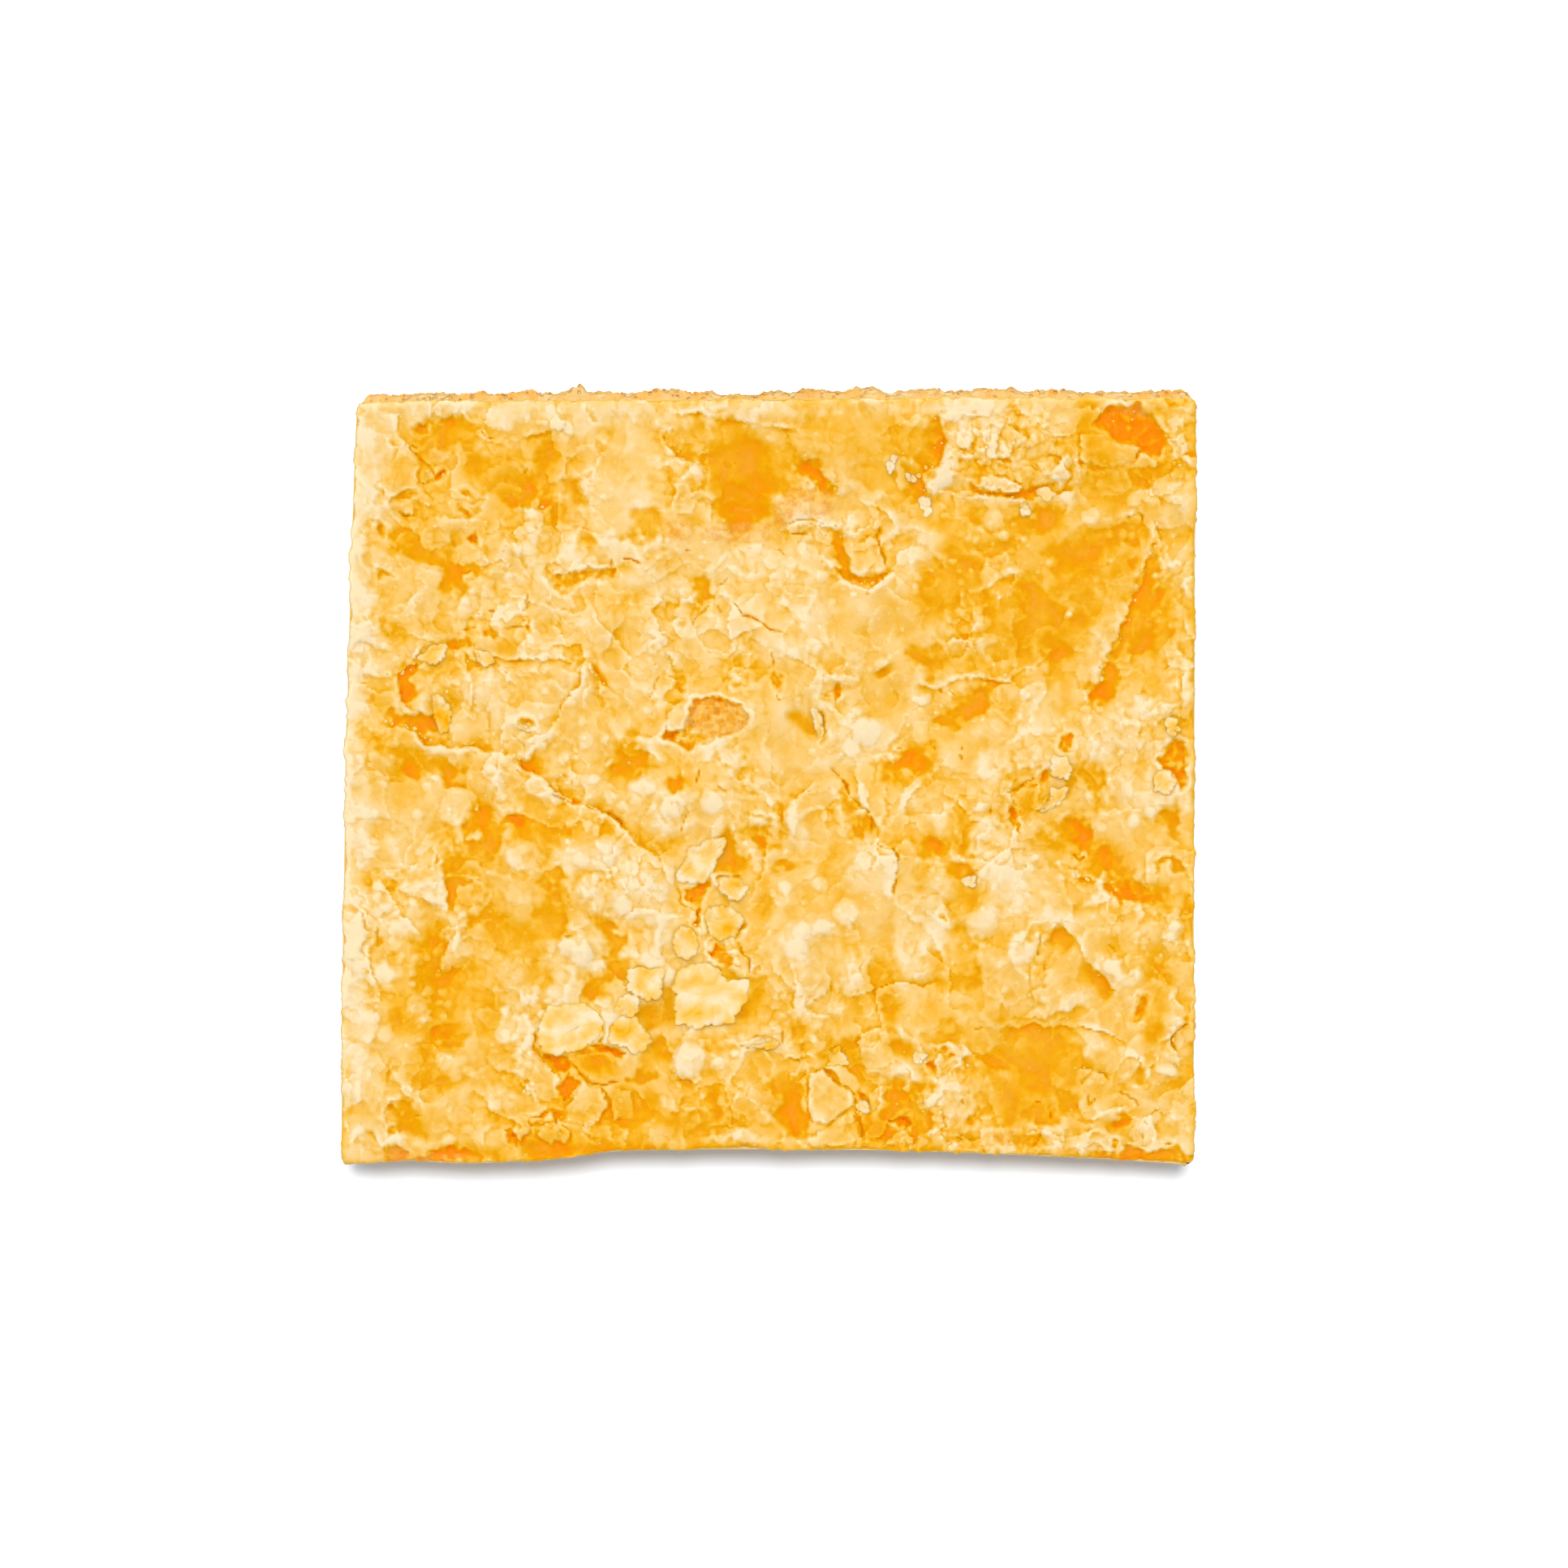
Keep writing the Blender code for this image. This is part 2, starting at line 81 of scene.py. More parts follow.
# Soft zones of the skin, laid one over the other: x, y, half length, half width, turn, tone.
# Tone runs from 0, dry cream skin, through 0.5, yellow, to 1, deep wet amber.
ZONES = (
    (0, 0, 60, 60, 0, 0.52), (-36, 0, 6, 40, 0, 0.42), (38, 0, 5, 30, 0, 0.42),
    (0, 36.5, 40, 2.5, 0, 0.34), (-30, 29, 9, 8, 0, 0.62), (-12, 29, 5, 5, 0, 0.45),
    (24, 31, 7, 4, 0, 0.42), (25, 17, 12, 9, 0, 0.68), (-26, -15, 10, 9, 0, 0.62),
    (-25, -32, 9, 4, 0, 0.6), (-10, -33, 9, 3.5, 0, 0.7), (6, 17, 8, 7, 0, 0.42),
    (25, -28, 8, 6, 0, 0.7), (-3, 20, 6, 4, 0, 0.28), (-21, 17, 5, 4, 0, 0.42), (5, -13, 7, 7, 0, 0.42),
    (14, 32, 8, 5, 0, 0.64), (-28, 8, 8, 4, 0, 0.42), (-20, 30, 3, 6, 0, 0.5), (34, 4, 5, 5, 0, 0.38),
    (22, -10, 6, 5, 0, 0.34), (-15, -10, 5, 9, 30, 0.3), (0, 3, 8, 5, 0, 0.42),
    (33, -18, 7, 6, 0, 0.48), (-6, -7, 9, 4, 0, 0.5), (-31.5, 33, 5, 1.8, 0, 0.86),
    (-34.5, 33.6, 1.8, 1.2, 0, 0.8), (-27.3, 29.6, 3, 2, -20, 0.84), (-24, 28.2, 1.9, 1.9, 0, 0.86),
    (-31.5, 30, 2.5, 1.3, -50, 0.6), (-35.8, 29.5, 1.6, 2.2, 0, 0.62), (-33, 24.4, 5, 2.2, 0, 0.64),
    (-35.5, 23.2, 1.5, 1.6, 0, 0.74), (-33, 21.4, 4, 0.9, -14, 0.84), (-30, 19, 1.7, 1.8, -40, 0.9),
    (-27.5, 17.2, 3.2, 1.6, -30, 0.26), (-29.4, 19.6, 0.7, 0.4, 0, 0.3), (-39.5, 29, 1.4, 6, 0, 0.28),
    (-24.5, 22.8, 3, 1.5, 0, 0.32), (-22.6, 24.2, 1.4, 1.2, 0, 0.3), (-14, 22.2, 5, 0.9, 0, 0.22),
    (-11.5, 23.9, 2.2, 1.5, 0, 0.84), (-8.6, 31.8, 2.2, 1.6, 0, 0.66), (-5.5, 32.8, 5, 1.8, 0, 0.82),
    (1.5, 31.8, 4, 1.6, 0, 0.8), (-2.2, 28.6, 3.9, 4.4, 0, 0.99), (-3.2, 25, 1.6, 1.4, 0, 0.98),
    (4.6, 28.9, 3, 0.8, -38, 0.98), (-9, 28, 2.5, 2.5, 0, 0.5), (-13, 31.5, 2.2, 2.4, 0, 0.34),
    (-8, 27.5, 1.6, 1.6, 0, 0.58), (9, 35, 7, 1.2, 0, 0.6), (7, 33.2, 7, 2, 0, 0.66),
    (14.3, 31.4, 2.6, 3.4, 0, 0.84), (11, 29.4, 3.5, 1.2, 0, 0.68), (14.2, 28, 1.3, 0.9, 0, 0.84),
    (9, 27.2, 2.2, 1.2, 0, 0.46), (17.8, 32, 1.2, 3, 0, 0.26), (17, 28.6, 2, 1, 30, 0.14),
    (-6.9, 18.6, 1.1, 1.8, 35, 0.74), (-1.6, 20.6, 3, 1.3, 0, 0.14), (-4.2, 16.6, 1.6, 2, 0, 0.24),
    (4.6, 14.6, 1.6, 2.4, 0, 0.2), (-2.6, 11.8, 2.6, 1.4, 0, 0.56), (6.6, 21.6, 0.8, 2.2, 15, 0.86),
    (13.5, 22.6, 1.3, 2.6, 0, 0.5), (12.5, 24.4, 1.4, 1.2, 0, 0.34), (17.5, 24.6, 2.4, 1.6, 0, 0.72),
    (19, 21.9, 2.1, 1.4, 0, 0.86), (17.2, 18, 2.6, 1.8, 0, 0.84), (17, 12.8, 2, 2.6, 0, 0.76),
    (15.2, 11.6, 1.2, 1.6, 0, 0.86), (25.6, 24.6, 2.4, 1.5, 15, 0.92), (22.6, 22.4, 2.2, 1.2, 0, 0.84),
    (28.6, 21.6, 1.8, 1.6, 0, 0.9), (31, 20.6, 2.2, 2, 0, 0.86), (32.5, 23.2, 4, 0.9, 0, 0.78),
    (26, 15.4, 5.2, 3, 0, 0.97), (29, 13.2, 2.4, 2, 0, 0.95), (20.6, 16.2, 1.8, 1.2, 0, 0.84),
    (29.8, 17.4, 2.2, 2.2, 0, 0.84), (32, 26, 4, 1.3, 0, 0.62), (36.6, 18.4, 1.3, 3.2, -8, 0.94),
    (35.2, 13.2, 1.7, 2.2, -30, 0.94), (32.6, 9, 1.1, 1.8, -35, 0.92), (38.8, 15, 1.4, 3.5, 0, 0.62),
    (39, 22.5, 1.3, 3, 0, 0.4), (38.6, 27, 1.6, 1.6, 0, 0.42), (20.2, 7.4, 1.1, 2.2, -28, 0.92),
    (17.6, 5.8, 2, 1.1, 20, 0.86), (13.6, 1.6, 2.2, 1.2, 20, 0.9), (16.5, 4, 2.4, 1, 0, 0.62),
    (9, 3.7, 2.9, 2.1, 0, 0.1), (6.5, 13.6, 1, 1.4, 0, 0.4), (26.4, 6, 1.9, 2.6, 0, 0.26),
    (22.5, 4.2, 2.6, 1.8, 0, 0.34), (21.6, 0.6, 1.4, 1.6, 0, 0.22), (33, 4.6, 3.2, 2, 0, 0.22),
    (36, 7.2, 1.6, 1, 0, 0.2), (31.6, -0.6, 1.1, 2.6, 25, 0.84), (29.6, -1, 0.8, 1.6, 0, 0.78),
    (36, -2.6, 3, 2.4, 0, 0.24), (28.4, -4.6, 1.8, 1.7, 0, 0.7), (30.3, -5.8, 0.9, 2, 0, 1.0),
    (31.9, -8.8, 1.6, 1.3, 0, 0.86), (35, -11.2, 3.2, 0.8, -28, 0.88), (39.2, -4, 0.9, 1.3, 0, 0.84),
    (39.2, -9.2, 1.1, 0.6, 0, 0.82), (36.8, -6, 2.2, 2.4, 0, 0.5), (23.2, -11, 3, 2.2, 0, 0.14),
    (21.8, -5.4, 1.6, 1.2, 0, 0.24), (32.4, -11.4, 1.4, 1.2, 0, 0.14), (18.2, -8.4, 1.8, 1.4, 0, 0.8),
    (15.2, -6.8, 1.8, 0.9, 0, 0.84), (15, -10.2, 2.2, 1.6, 0, 0.62), (16, -2.6, 2.6, 1.4, 0, 0.36),
    (20.6, -14.4, 2, 1.8, 0, 0.4), (15, -14.4, 2.2, 3.4, -12, 0.24), (18.9, -17.8, 1.6, 2.6, -12, 0.82),
    (16.6, -19.4, 2, 1.6, 0, 0.7), (23.6, -18.6, 3, 1.8, 0, 0.42), (24.8, -16.8, 1.4, 1, 0, 0.18),
    (10, -9.4, 2.2, 2.2, 0, 0.28), (8.7, -5.2, 1, 1.3, 0, 0.86), (7.6, -2.2, 1.2, 0.6, 0, 0.84),
    (5, -3, 1.4, 1.4, 0, 0.52), (2.6, -5.2, 1.5, 1.5, 0, 0.3), (0.8, -4, 0.5, 0.9, 0, 0.8),
    (-3.9, -7.6, 1.1, 2, 10, 0.98), (-1.6, -7.6, 1.4, 0.7, 0, 0.44), (-0.6, -6, 1.6, 0.7, 0, 0.72),
    (1, -8.8, 1.4, 0.8, 0, 0.78), (-9.6, -3.4, 2.4, 2.1, 0, 0.24), (-5.9, -3.2, 1.7, 2.1, 0, 0.26),
    (-12, -1, 1.9, 1.5, 0, 0.3), (-9.2, -0.9, 1, 1, 0, 0.78), (-13.4, 1.8, 1.7, 2.1, 0, 0.92),
    (-11, 4.6, 1.5, 2.6, 0, 0.36), (-5, 2.4, 2.6, 1, 0, 0.24), (-2.6, 1, 0.9, 1, 0, 0.66),
    (-22.6, 1.7, 1.2, 1.6, -20, 0.76), (-17, 7, 2.6, 2.2, 30, 0.5), (-22, 3.8, 2, 0.8, 30, 0.2),
    (-18.6, -0.4, 2.4, 1.3, 0, 0.4), (-36, 3.4, 3, 1.4, -10, 0.74), (-33.6, 1.6, 3.2, 1.2, -10, 0.8),
    (-31.2, 0.8, 0.9, 1.4, 0, 0.84), (-26.5, 1.2, 3, 1, -8, 0.42), (-27, 8.2, 6.4, 3.4, 0, 0.34),
    (-35.2, 9, 0.8, 2.2, 0, 0.9), (-35.6, 5.2, 2.4, 0.6, -18, 0.88), (-32.7, 5.3, 1.3, 1, 0, 1.0),
    (-31.2, 8, 1.6, 1.6, 0, 0.52), (-33.4, 9.4, 1, 2, 0, 0.5), (-33.4, 14, 2.6, 2, 0, 0.6),
    (-38.5, 12, 1.8, 2, 0, 0.28), (-37.6, 7.6, 1.4, 1, 0, 0.5), (-30.5, -3.4, 2.2, 1.9, 0, 0.5),
    (-27.7, -6, 1.4, 2.7, 0, 1.0), (-28.1, -5.8, 0.5, 0.7, 0, 0.66), (-25, -4.8, 1.4, 0.9, 0, 0.94),
    (-31.4, -6.6, 1.4, 1.8, 0, 0.72), (-29.8, -8.8, 2, 1, 0, 0.8), (-34, -7, 2.6, 1.7, 0, 0.22),
    (-33.4, -11.2, 2.8, 1, -8, 0.26), (-30.4, -11.2, 0.7, 1.8, 0, 0.88), (-24, -7.8, 2.5, 1.8, 0, 0.44),
    (-21, -6, 1.4, 2, 0, 0.7), (-22, -3.4, 3, 0.7, -12, 0.66), (-17, -7, 3, 3, 0, 0.2),
    (-17.6, -10.8, 1.5, 1.4, 0, 0.12), (-12.8, -12, 2.2, 3, 20, 0.2), (-20.8, -10.4, 0.9, 1.4, 0, 0.8),
    (-21.4, -13.6, 1.2, 1.4, 0, 0.86), (-25.2, -15, 3.6, 1.7, -8, 0.82),
    (-32.8, -16.6, 1.6, 3, -10, 0.86), (-37, -14.6, 1.6, 1.4, 0, 0.36),
    (-37.2, -19.2, 1.2, 1.1, 0, 0.2), (-32.4, -20.6, 2, 2.4, 0, 0.88), (-28.6, -21.8, 2.8, 3, 0, 0.74),
    (-19.2, -17.2, 2.6, 2.3, 0, 0.2), (-15.4, -16, 1, 2.4, 20, 0.76), (-16.2, -20.6, 1.2, 1.4, 0, 0.84),
    (-24.2, -25, 1, 3.4, 10, 0.22), (-21.9, -21.4, 0.6, 2, 0, 0.78), (-37.4, -25, 1.6, 1.5, 0, 0.28),
    (-31.4, -27.8, 1.6, 1.1, 0, 0.24), (-30.8, -24.8, 2, 1, 20, 0.84), (-27, -26.6, 2.4, 1.2, 0, 0.66),
    (-29, -31.4, 2.4, 1.8, 0, 0.42), (-34.8, -33.4, 2.6, 1.8, 0, 0.72), (-39.6, -33, 1.6, 2.6, 0, 0.56),
    (-25.6, -32, 1.6, 1, 0, 0.46), (-40.2, -20, 1.4, 5, 0, 0.2), (-40.2, -4, 1.2, 6, 0, 0.34),
    (-8, -27.6, 2.3, 1.8, 0, 0.36), (-3, -26.2, 2.6, 1.1, 0, 0.22), (-11, -27.4, 1.6, 2, 0, 0.8),
    (-12.3, -29, 1, 0.8, 0, 0.96), (-9.6, -33, 3.4, 1.5, 0, 0.86), (-13.2, -33.2, 1.3, 2.4, 0, 0.86),
    (-7.6, -31.2, 1.8, 1.4, 0, 0.58), (-2, -32, 2, 2.6, 0, 0.64), (-3.4, -35.2, 2.6, 0.8, -10, 0.38),
    (1.8, -32.4, 1.4, 3.2, 0, 0.98), (3.2, -16, 2.8, 2.2, 30, 0.2), (7.4, -13.4, 1.8, 1, 0, 0.44),
    (6, -17.6, 2.6, 1.2, 0, 0.5), (7.6, -21.6, 3, 1.6, 0, 0.58), (1.4, -22.4, 1.4, 2, 0, 0.5),
    (12.9, -15.6, 1, 3, 0, 0.28), (12.6, -32, 1.8, 1.6, 0, 0.96), (14.6, -33.6, 1.6, 2, 0, 0.92),
    (11.6, -30.4, 1.8, 0.9, 0, 0.8), (16.8, -24.6, 1.4, 0.8, 0, 0.74), (17.6, -31, 1.8, 1.6, 0, 0.3),
    (18.5, -27.6, 0.5, 1.8, 0, 0.3), (25, -28, 5.2, 3.4, 0, 0.94), (22.4, -26.2, 2, 1.6, 0, 0.84),
    (23.5, -31.6, 3.4, 1.6, 0, 0.84), (26.4, -32.8, 1.3, 1.1, 0, 0.98), (31.6, -26.4, 1.6, 1, 0, 0.42),
    (33.4, -30.2, 1.6, 1.4, 0, 0.6), (28.6, -22.2, 1.8, 1.4, 0, 0.26), (28.8, -23.6, 1.8, 0.6, 0, 0.72),
    (33.6, -18.8, 1.8, 1.1, -20, 0.18), (38.6, -13.8, 1.8, 1.4, 0, 0.34), (37.2, -33, 2, 1.4, 0, 0.28),
    (38.4, -28.6, 1.4, 1.4, 0, 0.34), (33.6, -33.2, 0.8, 0.9, 0, 0.9), (21.8, -35.2, 2, 0.8, 0, 0.62),
    (31.4, -30.6, 1.7, 1.5, 0, 0.52), (-33, -36.8, 5, 0.7, -4, 1.0), (36, -37, 5, 0.7, 0, 0.95),
    (-39.8, 16, 1.3, 9, 0, 0.2), (28.8, -34.6, 1.8, 1, -30, 0.3), (36.4, -17, 1.4, 1.2, 0, 0.56),
    (31.2, -14.2, 1.8, 1, 0, 0.4),
)

# Broad places that are drier, below 0, or wetter than the zones make them:
# x, y, half length, half width, change of tone
TINTS = (
    (-37.4, 32.5, 2, 4, -0.28), (-31.5, 36, 3, 1.4, -0.3), (-26, 33.4, 2, 2, -0.2),
    (-19, 26, 2.4, 4, -0.2), (-17, 35, 4, 1.4, -0.28), (-14, 25.5, 2.4, 3, -0.24),
    (-25, 20, 2, 1.6, -0.18), (-9.4, 16.6, 1.6, 2.2, -0.26), (-15.5, 19, 2, 1.4, -0.12),
    (-6, 13.6, 3, 1.8, -0.25), (-12, 12.3, 2.2, 2.2, -0.22), (-5.8, 10.5, 2, 1.2, -0.15),
    (0, 12, 3, 1.2, -0.22), (-13.4, 7.6, 1.4, 3, -0.2), (-18.4, 9, 1.4, 1.6, -0.14),
    (-18.4, 3.4, 1.4, 2.4, -0.2), (-25, 3, 2.6, 1, -0.14), (4.4, 23.4, 2.2, 2.4, -0.15),
    (6.4, 24, 1.4, 3, -0.2), (13.8, 22.4, 2.2, 2, -0.24), (19.6, 35, 2.6, 2.8, -0.3),
    (18, 29, 1.6, 3, -0.2), (-1, 33.3, 4, 1, -0.2), (-8.4, 31.6, 2, 2, -0.2),
    (-33.5, -13.6, 3, 2, -0.28), (-40.4, -4, 1.4, 28, -0.24), (-22, -22, 3.4, 1.8, -0.3),
    (-16, -24, 3.6, 1.6, -0.34), (-11, -17.4, 1.8, 2, -0.2), (17, -16, 2.2, 2.4, -0.24),
    (5.2, -16.8, 1.8, 2, -0.14), (11, -28.6, 2, 1.8, -0.25), (16, 8.6, 2.6, 1.4, -0.14),
    (31, 13, 2, 1.6, -0.12), (20, -0.6, 1.4, 2, -0.14), (7, -5.2, 2, 1.2, -0.12),
    (28, -13.8, 2.2, 1.2, -0.28), (3, -35.4, 1.6, 0.8, -0.12), (-29.4, 25.6, 2.6, 1.6, -0.14),
    (-36.4, 25.6, 1.6, 1.6, -0.14), (14, 36, 6, 1.4, -0.16), (16.6, 13.4, 2, 1.4, -0.2),
    (19.6, 15.2, 1.2, 1.2, -0.14), (-13, -9, 2.6, 2, -0.24), (-2.6, -1.2, 1.6, 1.4, -0.18),
    (7.2, 1.4, 3, 1, -0.18), (13, -10.4, 1.6, 1.6, -0.2), (5.8, -22, 1.6, 1.6, -0.28),
    (0, -25.2, 2, 1, -0.18), (22.6, -25.2, 1.6, 1, -0.14), (31.2, -25.2, 1.6, 1, -0.14),
    (40.2, -1.8, 1, 2, -0.18), (33.2, 2.8, 1.8, 1, -0.14), (35, 25.4, 1.2, 1.2, -0.16),
    (-37, -18, 1.2, 1.6, -0.12), (-28.4, -17, 2, 1, -0.12), (-25, -19.2, 1.6, 1.2, -0.18),
    (8, -19, 1.6, 1, -0.14), (14.6, -19, 1.4, 1, -0.14), (28.4, -17, 1.6, 1, -0.12),
    (-11, -17.8, 1.4, 1, -0.16), (-25, 36.2, 4, 1, -0.12), (-20, -10, 1.2, 1.2, -0.12),
    (32.4, 32.4, 3, 3, 0.42), (37.6, 36, 2, 1.2, 0.2), (37.8, 28, 1.8, 2, 0.18),
    (33.4, 27.4, 1.6, 2, 0.22), (40.2, 33.2, 1.2, 3, 0.16), (33, 21.8, 2.4, 2, 0.24),
    (-9, 27.8, 1.8, 1.4, 0.14), (-2.6, 26.8, 2.6, 2.2, 0.14), (-22, 28.6, 1.2, 2.4, 0.16),
    (-30.5, 11.3, 3, 2, 0.24), (-36, 8, 1.6, 1.8, 0.26), (-35.6, -0.4, 2.6, 2.6, 0.18),
    (-22.7, 14.6, 3, 1, 0.14), (-3, 8, 1.4, 0.8, 0.2), (-17.4, -4.8, 2.6, 1.4, 0.36),
    (-24, -6.4, 1.4, 2, 0.28), (-18, -11.4, 2.4, 2, 0.3), (-8.4, -1.6, 1.6, 1.4, 0.24),
    (-7.2, -11.6, 1.2, 2.6, 0.12), (-0.6, -11.6, 1.2, 2, 0.24), (-3.2, -9, 1.4, 1.2, 0.14),
    (5.8, -8.8, 1, 2, 0.22), (14.6, 0.4, 2.2, 1.6, 0.24), (18.6, -5, 1.6, 1.4, 0.32),
    (18.8, -11.6, 1.6, 2.6, 0.44), (27.4, -6.2, 3, 1.4, 0.26), (37, -22.4, 1.2, 4, 0.3),
    (37.6, -25.4, 1.4, 1.6, 0.2), (36.4, -31.6, 2, 1.6, 0.16), (33, -34, 1.4, 1, 0.3),
    (26, -35, 2.6, 0.8, 0.26), (-35.6, -28.4, 1.8, 2, 0.2), (-31.6, -28.8, 2.2, 1.4, 0.24),
    (-20.6, -30, 1.4, 2.6, 0.22), (-21, -36.4, 8, 1, 0.2), (-31, -36.4, 4, 0.8, 0.24),
    (10.6, -34.6, 2, 1.8, 0.4), (12.6, -26.2, 1.4, 1.4, 0.34), (40.4, -14, 1, 1.6, 0.12),
    (-21.4, 30.6, 1, 2, 0.18), (-24.8, 23.6, 1.4, 1.2, 0.16), (-31.6, 32, 2.2, 1, 0.12),
    (-31, 18.8, 3.4, 1.4, 0.16), (-36.4, 13.8, 1.6, 1.6, 0.14), (-30.4, 6, 1.6, 1.2, 0.14),
    (-25.4, 12, 1.6, 1.2, 0.14), (6, 8, 1.4, 1.4, 0.16), (9.8, 23.4, 1.4, 1.4, 0.16),
    (15, 17, 1.4, 2, 0.16), (19.6, 19.8, 1.6, 1.2, 0.2), (29, 19.6, 1.6, 1.6, 0.16),
    (37.8, 15, 1.4, 2.4, 0.2), (31.8, 6.8, 1, 2, 0.18), (36.4, 8.6, 2, 1, 0.14),
    (20, 5.4, 1.4, 1.4, 0.16), (25, 27, 2, 1.2, 0.14), (-22.6, -5, 2, 1, 0.16),
    (-29.2, -11.4, 1.6, 1.2, 0.16), (34.6, -11.4, 2.4, 1.2, 0.16), (36.4, -17.4, 1.4, 2.4, 0.14),
    (16.2, -22.6, 1.4, 1.4, 0.16), (0.6, -32.2, 1.4, 1.6, 0.12), (4.6, -27.8, 1, 1.4, 0.14),
    (-4.4, -25.8, 1.6, 1, 0.32), (-36, -20.4, 1.4, 2.6, 0.2), (-35, -33.6, 1.6, 1.2, 0.16),
    (24, -31, 1.6, 1, 0.14), (-24, -23, 1.2, 1, 0.14), (37, 25, 1.2, 1.4, 0.16),
    (40.4, -13, 0.9, 1.8, 0.14), (-31, -7, 1.6, 1.2, 0.14), (-31, 7, 1.6, 1.2, 0.12),
    (-18.4, -27.2, 3.4, 1.4, 0.4), (-20, -35.4, 4, 1.2, 0.3), (37, 32.6, 2.4, 3, 0.3),
    (31, 35.4, 1.6, 1, 0.2), (-39.4, -1.6, 1.2, 1.4, 0.2), (-39.4, 31, 1, 2, 0.1),
    (26, -1.4, 2, 2, 0.2), (33, -12.5, 1.6, 1, 0.14), (38, -13.5, 1.4, 1, 0.14),
    (9.6, -31.8, 1.2, 1.2, 0.2), (-14, -20, 1.4, 1, 0.16), (-3.4, -22.8, 1.2, 1.6, 0.14),
    (-12.4, 19.4, 1.8, 1.4, -0.26), (14.6, -18.7, 1.6, 1.2, -0.16), (24.6, -22.8, 1.4, 1.2, -0.16),
    (31.4, -21.4, 1.2, 1.4, -0.16), (40, -21.4, 1.2, 1.6, -0.14), (18, -14, 1.2, 1.2, -0.12),
    (20, -27, 1, 1.4, -0.12), (-36.4, -27, 1.2, 1.4, -0.12), (-24, -28.2, 1.2, 1.2, -0.12),
    (-10, -28.2, 1.6, 1, -0.14), (-37.4, -13, 1.6, 2, -0.14), (-36.6, -5, 1.2, 1.4, -0.1),
    (-20, 9, 1, 2, -0.12), (14.6, 20.3, 2, 1.2, -0.12), (14.6, 6, 1.2, 3, -0.12),
    (2.4, 6, 1.2, 2, -0.12), (0.5, 23, 1.6, 1, -0.12), (24.6, 29.5, 1, 1.6, -0.14),
    (32, 12, 1.2, 2, -0.12), (-30, 35.6, 2, 1.2, -0.14),
)

# Wet valleys between the swells: tone, half width, points along them
VALLEYS = (
    (1.0, 0.75, (-22.8, 33), (-21.6, 31.4), (-21.1, 29.4), (-21.3, 27.4), (-20.9, 26), (-20.2, 24.8),
     (-19, 23.2)),
    (0.88, 0.5, (-18.8, 23.1), (-17.6, 22.6), (-16.6, 23.2)),
    (0.86, 0.4, (-19.1, 29.2), (-18.9, 28), (-18.2, 26)),
    (0.98, 0.5, (2.2, 30.6), (4.2, 29.7), (6, 28.1), (6.6, 26.9)),
    (0.86, 0.45, (6.9, 23.9), (6.5, 22), (6.2, 20.4)), (0.88, 0.5, (16.2, 36), (16.2, 32), (16, 30.6)),
    (0.88, 0.3, (-17.4, 11), (-16.6, 9.8), (-15.4, 8.4)),
    (0.84, 0.3, (1.5, 5.8), (3, 5.4), (3.9, 4.6), (5.2, 3.6)), (0.9, 0.35, (10.9, 10.8), (11.2, 9.6)),
    (0.88, 0.45, (14, -6.6), (15.4, -6.1), (17.6, -6.5), (20.2, -6.8)),
    (0.98, 0.6, (30.6, -5), (32, -7), (33.6, -8.6), (35.2, -10.2), (37.2, -11.6), (40.2, -12.6)),
    (0.96, 0.5, (27, -15), (28.5, -16.4), (29.6, -17.5)),
    (0.78, 0.5, (29.8, -18), (32, -19.8), (33.8, -21.2)),
    (1.0, 1.0, (-38, -21.8), (-36, -22.8), (-34.8, -23.9), (-33.2, -24.9), (-32.8, -26.2), (-33.8, -28),
     (-34.6, -29.2)),
    (0.94, 0.5, (-14.4, -17.4), (-14.1, -19), (-13.9, -20.4)),
    (1.0, 0.7, (-1.9, -19), (-1.4, -20.4), (-1.9, -22), (-3, -23.7)),
    (0.9, 0.45, (-9.9, -19.6), (-9.8, -21.4), (-9.3, -23.4), (-8.6, -24.8)),
    (0.98, 0.6, (-12.6, -21.8), (-11.7, -23.2), (-11.2, -25)),
    (0.84, 0.45, (3.1, -23), (3, -25), (3.1, -28.2)),
    (0.9, 0.5, (9.9, -17.2), (10.8, -20.2), (11.8, -22.8), (12.3, -25.2)),
    (0.84, 0.4, (5, -27.9), (5.6, -26.5), (6.9, -25.6)),
    (0.88, 0.55, (6.9, -25.6), (8.3, -27.2), (9.3, -29.2), (9.6, -30.8)),
    (0.9, 0.35, (-5.6, -30.2), (-5.4, -33.4)), (0.84, 0.4, (36.3, -27.9), (36.1, -30.2)),
    (0.88, 0.35, (-25.4, -36), (-22, -35.9), (-18.6, -36)),
)

